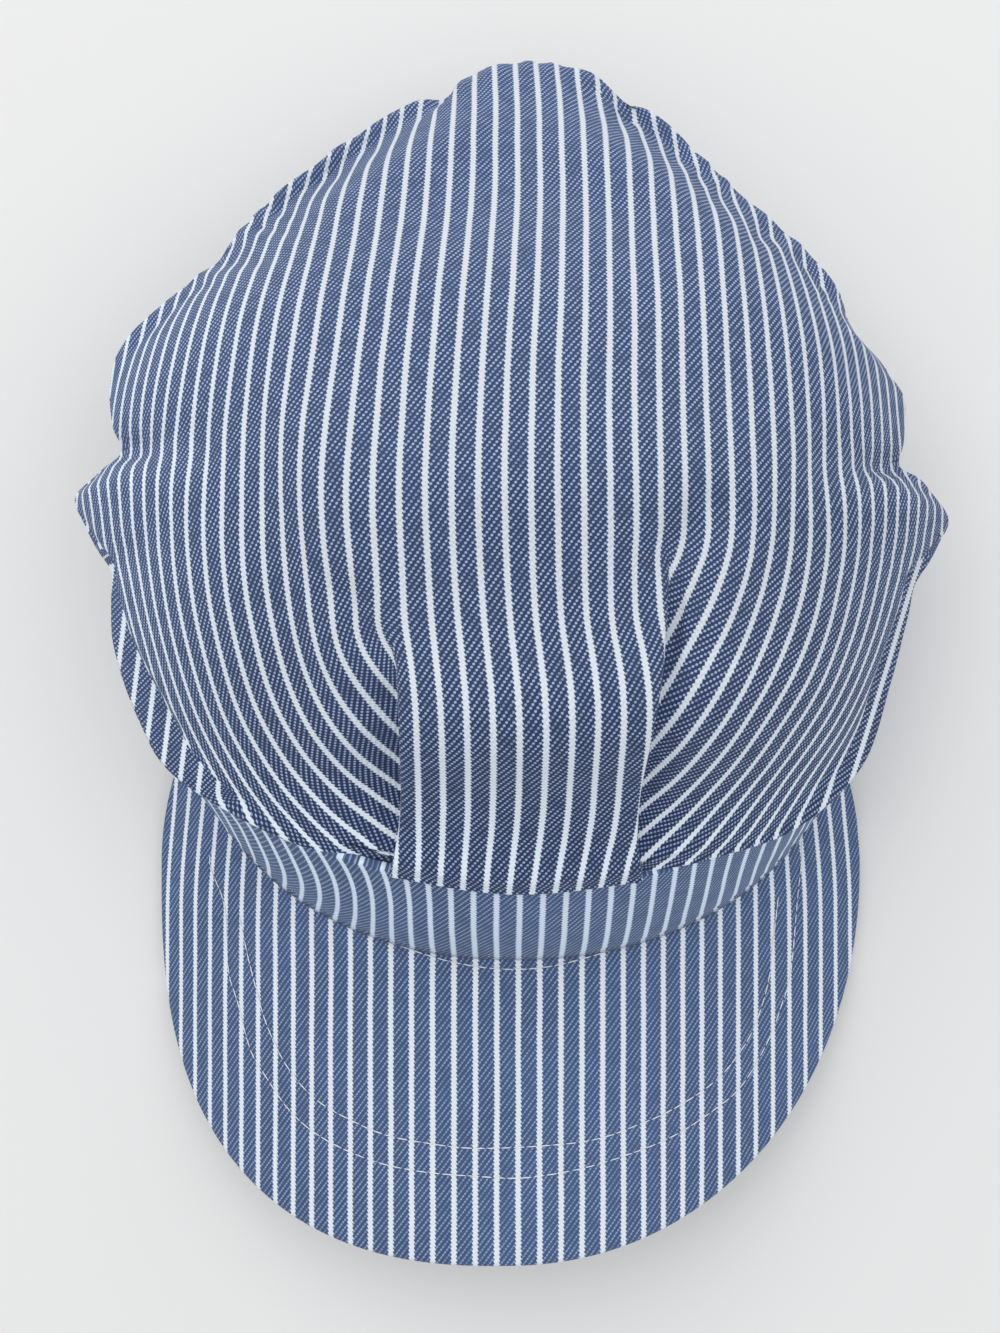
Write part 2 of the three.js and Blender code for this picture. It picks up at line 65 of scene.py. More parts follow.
# Spokes of the crown from the front round by the right: the top edge of the band, the bulge of
# the lower cloth, the crease above it, the lip of the roof, and how far the spoke bows in x
SPOKES = [
    ('front', (3, -45.4, 55.2), (3, -45.9, 56.6), (3, -44.9, 57.8), (3, -43), 1),
    ('right fold', (28.6, -43.3, 51.4), (29, -43.8, 52.8), (28.7, -42.9, 53.9), (28.4, -41), 17),
    ('right of fold', (45.5, -39.7, 45.2), (46.5, -40.3, 46.4), (45.7, -39.2, 47.6), (44.6, -37), 15.5),
    ('right front', (62.4, -33.5, 38), (64.5, -34.8, 38.8), (63.2, -33.2, 40), (62.2, -31.3), 13),
    ('right corner', (73, -21, 35), (79.3, -21.8, 34.5), (75.0, -19.2, 37.6), (73.8, -17.7), 11),
    ('right side', (78, -3, 35), (85.8, -3.5, 33.5), (81.0, -2.3, 37.2), (79.8, -1.5), 9),
    ('right ear front', (79, 16, 34.5), (90.5, 13.5, 33), (87.5, 15.5, 36), (87, 17), 7),
    ('right ear', (78.5, 33, 34.5), (97.8, 32, 30.5), (96.6, 32.5, 33), (93.5, 33.5), 5),
    ('right dip', (77, 47, 34.5), (88.8, 46.5, 33), (88.3, 46.3, 35.5), (85.5, 46.3), 3),
    ('right flank', (73, 62, 34.5), (88.3, 61.5, 32.5), (87.4, 61, 35), (84, 60), 2),
    ('right shoulder', (68.5, 74, 34.3), (77.4, 73.5, 33.5), (76.8, 73, 36), (74, 71.5), 1),
    ('right back', (62, 86, 34), (71.2, 86.5, 34), (70.6, 86, 36.5), (68, 84.5), 0),
    ('back right', (44, 101.5, 31), (53, 106, 28.5), (52, 105.5, 31), (49.5, 103.5), 0),
    ('back right end', (23, 116, 27.5), (30, 128.3, 24.5), (29.3, 127.4, 26.8), (27.5, 124.8), 0),
    ('back', (4, 122, 26), (6, 138, 21.5), (5.7, 137.2, 24), (5.3, 134.2), 0),
    ('back left end', (-15, 116, 27.5), (-20, 128, 23.5), (-19.4, 127, 25.8), (-18, 124.5), 0),
    ('back left', (-36, 101.5, 31), (-48.6, 106.2, 28), (-47.8, 105.7, 30.5), (-45.5, 103.7), 0),
    ('left back', (-54, 86, 34), (-66.3, 86.8, 31.5), (-65.4, 86.2, 34), (-62.5, 84.5), 0),
    ('left shoulder', (-61, 74, 34.3), (-81.5, 72.5, 32.5), (-80.7, 72, 35), (-77.5, 70.5), -0.3),
    ('left flank', (-66.5, 61, 34.5), (-85.7, 62, 32), (-84.9, 61.5, 34.5), (-81.7, 60), -0.5),
    ('left dip', (-70.5, 47, 34.5), (-85, 47, 33.5), (-84.4, 46.8, 36), (-81.5, 46.5), -1),
    ('left ear', (-72.5, 34, 34.5), (-93, 36, 30), (-92, 35.5, 32.5), (-88.5, 35), -2),
    ('left ear front', (-73.5, 18, 34.5), (-86.6, 19, 31.5), (-84.6, 20.7, 34.2), (-84.2, 21.2), -3.5),
    ('left side', (-73.5, 3, 34.5), (-85, 4.5, 33), (-79.4, 5.6, 37.2), (-78.2, 6), -5.5),
    ('left corner', (-71, -11, 35.6), (-79.2, -11.5, 34.6), (-71.0, -9.6, 39.2), (-69.6, -9.0), -7.5),
    ('left front', (-65.5, -24.5, 40), (-69.5, -23.8, 40.6), (-62.4, -21.6, 43.4), (-61.0, -20.6), -9.5),
    ('left of fold', (-44.5, -35.8, 47.6), (-45.4, -36.4, 48.8), (-44, -34.6, 50.2), (-43, -32.5), -11.5),
    ('left fold', (-22.3, -42, 52.9), (-22.5, -42.5, 54.3), (-22.1, -41.6, 55.4), (-21.6, -39.6), -12.6),
]

# Cross sections of the roof: y, left edge, its height, crest, right edge, its height, fullness
# of the left flank and of the right one
SECTIONS = [
    (-50, -30, 52, 56, 36, 49, 2.0, 1.6),
    (-42, -34, 54, 60, 42, 50.5, 2.0, 1.7),
    (-35, -45, 49, 62, 60, 41.5, 2.0, 1.7),
    (-25, -55.5, 47, 69, 70, 38.5, 1.9, 1.8),
    (-15, -65.5, 43, 79, 75, 39.5, 1.85, 2.1),
    (-5, -72, 42, 82, 79, 40, 1.9, 2.4),
    (5, -77.8, 40, 80, 84, 38, 2.3, 2.5),
    (20, -85, 36, 79, 91, 35, 2.6, 2.5),
    (35, -93, 31, 80, 96, 32, 2.4, 2.4),
    (50, -87, 35, 76, 89, 35, 2.5, 2.5),
    (65, -85, 33, 71, 87, 34, 2.6, 2.6),
    (80, -71, 33, 63, 73, 36, 2.8, 3.0),
    (95, -59, 30, 52, 63, 33, 2.9, 3.1),
    (110, -43, 26, 43.5, 48, 29, 2.8, 2.8),
    (125, -26, 24, 33, 33, 25, 2.6, 2.6),
    (140, -16, 16, 23, 26, 17, 2.4, 2.4),
]

# Folds and dents of the roof: from, to, half width, height
FOLDS = [
    ('left ear valley', (-86, 48), (-62, 45), 4.5, -3.0),
    ('right ear valley', (90, 44), (66, 41), 4.5, -2.6),
    ('left ear ridge', (-90, 35), (-66, 36), 5, 1.6),
    ('right ear ridge', (94, 31), (70, 32), 5, 1.6),
    ('back right valley', (24, 127), (56, 94), 4, -2.6),
    ('back right roll', (18, 110), (46, 92), 6, 1.4),
    ('back left valley', (-20, 124), (-46, 96), 5, -2.2),
    ('back left roll', (-8, 116), (-34, 98), 5, 1.3),
    ('left roof wave', (-33, 44), (-26, 20), 6, 1.2),
    ('left roof dip', (-46, 44), (-40, 14), 7, -1.4),
    ('mid roof dip', (-12, 12), (22, 12), 8, -1.6),
    ('right pleat head', (33, 27), (28, 12), 4.5, -1.8),
    ('front brow', (-12, -9), (22, -9), 6, 1.2),
]

# Sharper creases that the soft cloth adds: from, to, half width, height square to the cloth
CREASES = [
    ('back right tuck', (23.5, 137.0), (30.0, 124.0), 1.6, -2.4),
    ('back right roll edge', (18.5, 136.0), (25.0, 124.0), 2.4, 1.2),
    ('back left tuck', (-9.0, 138.0), (-17.0, 124.0), 1.5, -2.4),
    ('back left crease', (-19.0, 123.0), (-44.0, 103.0), 2.4, -0.5),
    ('back left roll', (-27.0, 126.5), (-50.0, 106.0), 3.0, 0.45),
    ('left shoulder crease', (-70.0, 92.0), (-44.0, 84.0), 2.4, -1.0),
    ('right ear crease', (99.0, 47.0), (74.0, 41.0), 1.9, -2.4),
    ('right ear fold', (100.0, 32.0), (74.0, 36.0), 2.2, 1.4),
    ('right ear under', (96.0, 18.0), (70.0, 26.0), 3.0, -1.0),
    ('right shoulder crease', (92.0, 64.0), (66.0, 60.0), 3.0, -0.9),
    ('left ear crease', (-98.0, 50.0), (-70.0, 45.0), 2.0, -2.2),
    ('left ear fold', (-100.0, 36.0), (-72.0, 38.0), 2.2, 1.4),
    ('left ear under', (-94.0, 20.0), (-68.0, 26.0), 2.6, -1.2),
    ('left roof wave', (-42.0, 50.0), (-30.0, 12.0), 4.0, 0.8),
    ('left pleat head', (-30.0, 14.0), (-22.5, 2.0), 2.2, -1.6),
    ('left pleat knee', (-36.0, 8.0), (-30.0, -12.0), 3.0, 0.9),
    ('right pleat head', (40.0, 30.0), (31.0, 20.0), 2.4, -1.6),
    ('right pleat knee', (46.0, 20.0), (40.0, 2.0), 3.0, 0.9),
    ('panel wave', (14.0, 10.0), (19.0, -22.0), 4.0, -0.8),
    ('mid roof wave', (30.0, 70.0), (26.0, 36.0), 5.0, 0.6),
]

# Pleats beside the front panel: spoke, side that lies lower, share of the spoke where the pleat
# starts and where it is full, how deep it is
PLEATS = [
    ('right fold', 1, 0.36, 0.60, 1.2),
    ('left fold', -1, 0.53, 0.74, 1.85),
]
# Cross section of a pleat: place across it while still flat, place across it once folded, and
# height once folded, from the panel round its rolled edge to the cloth under it
PLEAT_ROLL = [
    (-2.7, -2.9, 0.25),
    (-2.1, -1.9, 0.45),
    (-1.5, -1.0, 0.55),
    (-0.9, -0.25, 0.35),
    (-0.3, 0.2, -0.25),
    (0.3, 0.25, -1.0),
    (0.9, -0.15, -1.75),
    (1.5, -0.8, -2.3),
    (2.1, -1.5, -2.9),
    (2.7, -1.2, -3.6),
    (3.3, -0.3, -3.9),
    (3.9, 0.9, -3.95),
    (4.6, 2.4, -3.9),
    (5.4, 4.2, -3.75),
]
PLEAT_CUT = 8
PLEAT_DEPTH = 4.6
PLEAT_REACH = 0.95

# Lean of the stripes from straight ahead, in degrees, row by row from the back of the crown to
# the front: y of the sight line where it meets the floor, then pairs of x and lean
LEAN_SIDE = [
    (139, [(-60, 20), (-42, 8), (-27, 4), (-18, 12), (-5, 0), (12, -6), (37, -8), (55, -18)]),
    (131, [(-60, 34), (-46, 36), (-34, 30), (-25, 12), (-18, 5), (-5, 0), (12, -6), (37, -8), (58, -20)]),
    (124, [(-60, 34), (-42, 22), (-27, 11), (-18, 4), (-5, 0), (12, -5.5), (37, -8), (60, -20)]),
    (102, [(-72, 30), (-49, 18), (-39, 10), (-20, 5.4), (0, 3), (12, 0), (37, -4), (61, -11), (80, -16)]),
    (78, [(-92, 20), (-74, 14), (-62, 8.5), (-49, 7), (-25, 4), (0, 2.3), (25, 0.5), (62, -3), (86, -9)]),
    (53, [(-98, 1), (-86, 4), (-62, 1.5), (-37, 3), (-12, 0), (12, -1), (37, -3.5), (62, 0), (98, -3)]),
    (35, [(-86, -4), (-62, -4), (-37, -4), (-25, -2.5), (0, -2.5), (12, -1.3), (30, -2), (41, -2), (47, 2), (58, 6),
          (74, 5), (96, 0)]),
    (27, [(-86, -6), (-62, -7), (-37, -6), (-25, -4), (0, -3.5), (12, -1.5), (30, -2), (38, 14), (42, 33),
          (49, 25), (58, 16), (74, 11), (96, 6)]),
    (12, [(-86, -10), (-62, -11), (-45, -10), (-34, -4), (-26, -2), (0, -4.5), (25, 0), (37, 33), (49, 27), (62, 19),
          (74, 16), (90, 14)]),
    (4, [(-86, -13), (-65, -12), (-53, -13), (-42, -18), (-37, -31), (-30, -46), (-26, -48), (0, -5.5), (25, 0),
         (37, 33), (49, 28), (62, 24), (74, 21), (90, 18)]),
    (-9, [(-71, -18), (-59, -20), (-47, -24), (-37, -37), (-29, -45), (37, 35), (49, 31), (62, 29), (80, 26)]),
    (-21, [(-65, -27), (-53, -31), (-39, -40), (-29, -50), (37, 41), (49, 38), (70, 33)]),
    (-33, [(-65, -33), (-53, -42), (-39, -48), (-29, -58), (37, 48), (49, 44), (70, 36)]),
    (-46, [(-65, -40), (-53, -50), (-39, -56), (-29, -66), (37, 54), (49, 48), (70, 40)]),
]
LEAN_PANEL = [
    (29, [(-25, -3.7), (0, -3.5), (12, -1.5), (30, -1), (39, 0)]),
    (16, [(-25, -3.5), (0, -4), (25, -4), (36, -3)]),
    (7, [(-25, -4.6), (0, -6.5), (25, -13), (36, -15)]),
    (-3, [(-25, -5), (0, -6), (25, -8), (36, -8)]),
    (-12, [(-25, -3), (0, -2), (25, -2), (36, -1)]),
    (-21, [(-25, -1), (0, 0), (33, 4)]),
    (-33, [(-25, -1), (0, 2), (33, 6)]),
    (-45, [(-25, 2), (0, 6), (33, 14)]),
]
# Lean on the lower cloth that shows under the edge of the roof: left side, right side
LEAN_LOWER = (8.0, 17.0)
# Stretches where the roof hangs over the lower cloth, as places counted in spokes from the front
OVERHANGS = [(21.9, 25.2), (3.8, 6.5)]
CENTRE_STRIPE_AT = (0.9, 30.0)
# How much closer the stripes lie at the side edges of the roof
SIDE_FULLNESS = 0.3
# How much of the wall under the edge counts in laying its stripes
WALL_SHARE = 0.06

# Rows of stitches on the peak, from the left corner to the right. The pairs are pixel coordinates
# of sight lines in a picture 1000 wide and 1333 high, taken by the camera overhead
STITCH_ROWS = {
    'outer': [(212, 848), (210, 867), (224, 905), (228, 969), (237, 1001), (250, 1049), (266, 1077),
              (291, 1112), (323, 1138), (371, 1160), (419, 1171), (476, 1176), (514, 1178), (546, 1175),
              (587, 1167), (629, 1154), (673, 1136), (715, 1109), (743, 1084), (769, 1039), (782, 1004),
              (791, 972), (798, 896), (802, 857), (802, 832)],
    'inner': [(240, 921), (250, 966), (266, 1023), (288, 1068), (317, 1100), (355, 1122), (387, 1135),
              (428, 1143), (476, 1148), (562, 1144), (600, 1138), (632, 1127), (673, 1109), (715, 1081),
              (740, 1052), (756, 1023), (769, 979), (775, 928), (778, 902)],
    'seam': [(393, 943), (438, 958), (476, 966), (515, 969), (550, 966), (584, 958), (625, 945),
             (657, 932), (680, 920), (700, 905)],
}
SIGHT_CENTRE = (500.0, 666.0)
SIGHT_SCALE = 1260.0

# How finely the cloth is divided
COLUMNS_PER_SPOKE = 17
ROOF_RINGS = 66
EDGE_RINGS = 5
CROWN_CLOTH = 1.1
BAND_COLUMNS = 720
BAND_RINGS = 22
BAND_CLOTH = 1.8
PEAK_COLUMNS = 220
PEAK_ROWS = 44
PEAK_CLOTH = 2.8


def smooth(start, end, v):
    t = np.clip((v - start) / (end - start), 0.0, 1.0)
    return t * t * (3 - 2 * t)


def unit(v):
    return v / np.maximum(np.linalg.norm(v, axis=-1, keepdims=True), 1e-12)


def value_noise(points, size, seed):
    """Soft noise from -1 to 1 over 3-D points, with lumps of the given size."""
    rng = np.random.default_rng(seed)
    lattice = rng.uniform(-1, 1, (24, 24, 24))
    p = points / size + 1000.0
    base = np.floor(p).astype(int)
    f = p - base
    f = f * f * (3 - 2 * f)
    total = np.zeros(points.shape[:-1])
    for corner in range(8):
        off = np.array([(corner >> k) & 1 for k in range(3)])
        weight = np.prod(np.where(off == 1, f, 1 - f), axis=-1)
        at = (base + off) % 24
        total = total + weight * lattice[at[..., 0], at[..., 1], at[..., 2]]
    return total


# Shapes of the cap, as in its solids
def hermite(before, start, end, after, t):
    t2, t3 = t * t, t * t * t
    return ((2 * t3 - 3 * t2 + 1) * start + (t3 - 2 * t2 + t) * (end - before) / 2
            + (3 * t2 - 2 * t3) * end + (t3 - t2) * (after - start) / 2)


def spoke_at(place):
    """Seam, bulge, crease and lip points and the bow of the spokes at places round the crown."""
    count = len(SPOKES)
    k = np.floor(place).astype(int)
    t = place - k
    table = np.array([[*row[1], *row[2], *row[3], *row[4], 0.0, row[5]] for row in SPOKES])
    rows = [table[(k + step) % count] for step in (-1, 0, 1, 2)]
    mixed = hermite(*rows, t[:, None])
    mixed[:, 12] = rows[1][:, 12] * (1 - t) + rows[2][:, 12] * t
    return {'seam': mixed[:, 0:3], 'bulge': mixed[:, 3:6], 'crease': mixed[:, 6:9],
            'lip': mixed[:, 9:11], 'bow': mixed[:, 12]}


def section_at(column, y):
    table = np.array(SECTIONS)
    ys, values = table[:, 0], table[:, column]
    last = len(ys) - 1
    k = np.clip(np.searchsorted(ys, y, side='right') - 1, 0, last - 1)
    width = ys[k + 1] - ys[k]
    t = np.clip((y - ys[k]) / width, 0, 1)

    def slope(i):
        low, high = np.clip(i - 1, 0, last), np.clip(i + 1, 0, last)
        return (values[high] - values[low]) / (ys[high] - ys[low]) * width

    t2, t3 = t * t, t * t * t
    return ((2 * t3 - 3 * t2 + 1) * values[k] + (t3 - 2 * t2 + t) * slope(k)
            + (3 * t2 - 2 * t3) * values[k + 1] + (t3 - t2) * slope(k + 1))


def fold_height(x, y):
    total = np.zeros_like(x)
    for _, (ax, ay), (bx, by), wide, high in FOLDS:
        dx, dy = bx - ax, by - ay
        along = np.clip(((x - ax) * dx + (y - ay) * dy) / (dx * dx + dy * dy), 0, 1)
        off2 = (x - ax - along * dx) ** 2 + (y - ay - along * dy) ** 2
        total = total + high * np.exp(-off2 / (2 * wide * wide))
    return total


def roof_height(x, y):
    left = x < CREST_X
    edge = np.where(left, section_at(1, y), section_at(4, y))
    edge_z = np.where(left, section_at(2, y), section_at(5, y))
    full = np.where(left, section_at(6, y), section_at(7, y))
    crest = section_at(3, y)
    out = np.abs((x - CREST_X) / (edge - CREST_X))
    return crest - (crest - edge_z) * out ** full + fold_height(x, y)


def roof_point(spoke, share):
    bend = spoke['bow'] * BOW_PEAK * share * (1 - share) ** 2
    x = HUB[0] + share * (spoke['lip'][:, 0] - HUB[0]) + bend
    y = HUB[1] + share * (spoke['lip'][:, 1] - HUB[1])
    return np.stack([x, y, roof_height(x, y)], axis=-1)


def centripetal(points, steps):
    """Smooth curve through rows of guide points, from the second guide to the last but one."""
    lines = []
    for i in range(1, len(points) - 2):
        p0, p1, p2, p3 = points[i - 1:i + 3]
        gaps = [np.maximum(np.sqrt(np.linalg.norm(b - a, axis=-1, keepdims=True)), 1e-4)
                for a, b in ((p0, p1), (p1, p2), (p2, p3))]
        t1 = ((p1 - p0) / gaps[0] - (p2 - p0) / (gaps[0] + gaps[1]) + (p2 - p1) / gaps[1]) * gaps[1]
        t2 = ((p2 - p1) / gaps[1] - (p3 - p1) / (gaps[1] + gaps[2]) + (p3 - p2) / gaps[2]) * gaps[1]
        for j in range(1, steps + 1):
            t = j / steps
            lines.append((2 * t**3 - 3 * t**2 + 1) * p1 + (t**3 - 2 * t**2 + t) * t1
                         + (3 * t**2 - 2 * t**3) * p2 + (t**3 - t**2) * t2)
    return lines


def crown_rings(places):
    """Rings of the crown's outer cloth, from its seam with the band to near the hub."""
    spoke = spoke_at(places)
    inward = unit(np.stack([HUB[0] - spoke['seam'][:, 0], HUB[1] - spoke['seam'][:, 1],
                            np.zeros(len(places))], axis=-1))
    over = spoke['seam'] + (0, 0, SEAM_GAP)
    start = over + inward * 1.6
    lip = roof_point(spoke, 1.0)
    guide = [start, over, spoke['bulge'], spoke['crease'], lip, roof_point(spoke, 0.965)]
    rings = [start, (start + over) / 2, over] + centripetal(guide, EDGE_RINGS)
    shares = [1.3] * 2 + list(np.linspace(1.25, 1.0, len(rings) - 2))
    for step in range(1, ROOF_RINGS + 1):
        share = 1 - (step / ROOF_RINGS) * (1 - 0.018)
        rings.append(roof_point(spoke, share))
        shares.append(share)
    return np.stack(rings, axis=1), np.array(shares)


def foot_point(angle, drawn_in):
    dx, dy = np.cos(angle), np.sin(angle)
    reach = np.where(dy < 0, FOOT['front'], FOOT['back'])
    power = FOOT['front_power'] + (FOOT['back_power'] - FOOT['front_power']) * smooth(
        -FOOT['blend'], FOOT['blend'], dy)
    scale = ((np.abs(dx) / FOOT['half']) ** power + (np.abs(dy) / reach) ** power) ** (-1 / power) - drawn_in
    return np.stack([FOOT['x'] + dx * scale, dy * scale], axis=-1)


def arch_fall(x):
    return np.where(x < ARCH['crest_x'], ARCH['left_fall'], ARCH['right_fall'])


def arch_height(x):
    return ARCH['crest_z'] - arch_fall(x) * (x - ARCH['crest_x']) ** 2


def arch_length(x):
    """Length along the arch of the peak from its crest."""
    off = x - ARCH['crest_x']
    s = 2 * arch_fall(x) * off
    return np.where(np.abs(s) < 1e-6, off,
                    (s * np.sqrt(1 + s * s) + np.arcsinh(s)) / (4 * arch_fall(x)))


def foot_height(x, y):
    return (arch_height(x) + SEAM_GAP) * (1 - smooth(*FOOT_DROP, y))


def peak_edge(share):
    angle = math.pi - PEAK_CORNER['angle'] + share * (math.pi + 2 * PEAK_CORNER['angle'])
    c, s = np.cos(angle), np.sin(angle)
    power = np.where(s > 0, 2.0, np.where(c < 0, PEAK['left_power'], PEAK['right_power']))
    x = PEAK['x'] + PEAK['half'] * np.sign(c) * np.abs(c) ** (2 / power)
    reach = np.where(s > 0, PEAK_CORNER['length'], -PEAK['length'])
    y = PEAK['y'] + reach * np.abs(s) ** (2 / power)
    return np.stack([x, y], axis=-1)


def peak_inner(share):
    half = math.acos(-PEAK_CORNER['y'] / FOOT['front']) * 1.12
    return foot_point(-math.pi / 2 + (share * 2 - 1) * half, 3.0)


def arch_normal(x):
    slope = -2 * arch_fall(x) * (x - ARCH['crest_x'])
    return unit(np.stack([-slope, np.zeros_like(x), np.ones_like(x)], axis=-1))


def arch_point(x, y, lowered):
    p = np.stack([x, y, arch_height(x)], axis=-1)
    return p - arch_normal(x) * np.asarray(lowered)[..., None]


def grid_normals(grid, ring=True):
    """Outward normals of a grid of points, columns round and rows up."""
    if ring:
        across = np.roll(grid, -1, axis=0) - np.roll(grid, 1, axis=0)
    else:
        across = np.gradient(grid, axis=0)
    return unit(np.cross(across, np.gradient(grid, axis=1)))


def resample_row(points, count):
    """Evenly spaced points on a smooth line through the given ones."""
    points = np.asarray(points, dtype=float)
    before = np.vstack([2 * points[0] - points[1], points, 2 * points[-1] - points[-2]])
    fine = []
    for i in range(len(points) - 1):
        for j in range(12):
            fine.append(hermite(before[i], before[i + 1], before[i + 2], before[i + 3], j / 12))
    fine.append(points[-1])
    fine = np.array(fine)
    run = np.concatenate([[0], np.cumsum(np.linalg.norm(np.diff(fine, axis=0), axis=1))])
    at = np.linspace(0, run[-1], count)
    return np.stack([np.interp(at, run, fine[:, k]) for k in range(fine.shape[1])], axis=-1)


# Cloth laid flat
def lay_flat(points, triangles, targets, guesses):
    """Scalar fields on the cloth whose slopes come nearest to the target directions."""
    n = len(points)
    a, b, c = (points[triangles[:, k]] for k in range(3))
    normal = np.cross(b - a, c - a)
    double = np.maximum(np.linalg.norm(normal, axis=1), 1e-9)
    normal = normal / double[:, None]
    slopes = [np.cross(normal, c - b) / double[:, None], np.cross(normal, a - c) / double[:, None],
              np.cross(normal, b - a) / double[:, None]]
    area = double / 2
    keys, weights = [], []
    for i, j in ((0, 1), (1, 2), (2, 0)):
        low = np.minimum(triangles[:, i], triangles[:, j])
        high = np.maximum(triangles[:, i], triangles[:, j])
        keys.append(low.astype(np.int64) * n + high)
        weights.append(-area * np.einsum('ij,ij->i', slopes[i], slopes[j]))
    keys, where = np.unique(np.concatenate(keys), return_inverse=True)
    weight = np.bincount(where, weights=np.concatenate(weights))
    first, second = keys // n, keys % n
    heavy = np.bincount(first, weights=weight, minlength=n) + np.bincount(second, weights=weight, minlength=n)
    heavy = np.maximum(heavy, 1e-9)

    def apply(u):
        flow = weight * (u[first] - u[second])
        return np.bincount(first, weights=flow, minlength=n) - np.bincount(second, weights=flow, minlength=n)

    fields = []
    for target, guess in zip(targets, guesses):
        push = np.zeros(n)
        for k in range(3):
            push += np.bincount(triangles[:, k], weights=area * np.einsum('ij,ij->i', target, slopes[k]),
                                minlength=n)
        u = guess.copy()
        rest = push - apply(u)
        step = rest / heavy
        way = step.copy()
        size = rest @ step
        first_size = size
        for _ in range(1500):
            pull = apply(way)
            length = size / (way @ pull)
            u += length * way
            rest -= length * pull
            step = rest / heavy
            new_size = rest @ step
            if new_size < first_size * 1e-9:
                break
            way = step + new_size / size * way
            size = new_size
        fields.append(u)
    return fields


def lean_at(x, y, rows):
    """Lean of the stripes at sight-line points, from the rows of a table."""
    ys = np.array([row[0] for row in rows])[::-1]
    leans = np.stack([np.interp(x, [p[0] for p in row[1]], [p[1] for p in row[1]])
                      for row in rows[::-1]])
    yy = np.clip(y, ys[0], ys[-1])
    k = np.clip(np.searchsorted(ys, yy) - 1, 0, len(ys) - 2)
    t = (yy - ys[k]) / (ys[k + 1] - ys[k])
    low = np.take_along_axis(leans, k[None], 0)[0]
    high = np.take_along_axis(leans, (k + 1)[None], 0)[0]
    return low + (high - low) * t


def to_frame(points):
    return (points - (FRAME_MIDDLE[0], FRAME_MIDDLE[1], 0.0)) / 1000.0


def sheet_mesh(name, points, quads, corner_uv):
    """A mesh object from millimetre points, quads (a repeated last corner makes a triangle) and the
    flat place of each corner."""
    mesh = bpy.data.meshes.new(name)
    three = quads[:, 2] == quads[:, 3]
    counts = np.where(three, 3, 4)
    keep = np.ones(quads.shape, dtype=bool)
    keep[three, 3] = False
    corners = quads[keep]
    uv = corner_uv[keep]
    mesh.vertices.add(len(points))
    mesh.vertices.foreach_set('co', to_frame(points).astype(np.float32).ravel())
    mesh.loops.add(len(corners))
    mesh.loops.foreach_set('vertex_index', corners.astype(np.int32))
    mesh.polygons.add(len(quads))
    starts = np.concatenate([[0], np.cumsum(counts)[:-1]]).astype(np.int32)
    mesh.polygons.foreach_set('loop_start', starts)
    mesh.polygons.foreach_set('use_smooth', np.ones(len(quads), dtype=bool))
    layer = mesh.uv_layers.new(name='UVMap')
    layer.data.foreach_set('uv', (uv / 1000.0).astype(np.float32).ravel())
    mesh.update(calc_edges=True)
    mesh.validate()
    thing = bpy.data.objects.new(name, mesh)
    bpy.context.scene.collection.objects.link(thing)
    return thing


# Crown
def creases_at(points):
    total = np.zeros(points.shape[:-1])
    for _, (ax, ay), (bx, by), wide, high in CREASES:
        dx, dy = bx - ax, by - ay
        along = np.clip(((points[..., 0] - ax) * dx + (points[..., 1] - ay) * dy) / (dx * dx + dy * dy), 0, 1)
        off2 = (points[..., 0] - ax - along * dx) ** 2 + (points[..., 1] - ay - along * dy) ** 2
        total = total + high * np.exp(-off2 / (2 * wide * wide)) * (0.35 + 0.65 * smooth(1.0, 0.7, along))
    return total


def crown_columns():
    """Places round the crown: plain columns, and those of each pleat's roll in order."""
    columns = []
    count = len(SPOKES)
    names = [row[0] for row in SPOKES]
    folds = [(names.index(name), side, start, full, deep) for name, side, start, full, deep in PLEATS]
    for i in range(count * COLUMNS_PER_SPOKE):
        place = i / COLUMNS_PER_SPOKE
        clear = True
        for at, side, _, _, _ in folds:
            off = (place - at) * side
            off -= count * round(off / count)
            clear = clear and not -0.36 < off < 0.52
        if clear:
            columns.append((place, -1, 0))
    for fold, (at, side, _, _, _) in enumerate(folds):
        for step, (flat, _, _) in enumerate(PLEAT_ROLL):
            columns.append((at + side * flat / 17.0, fold, step))
    columns.sort()
    return columns, folds


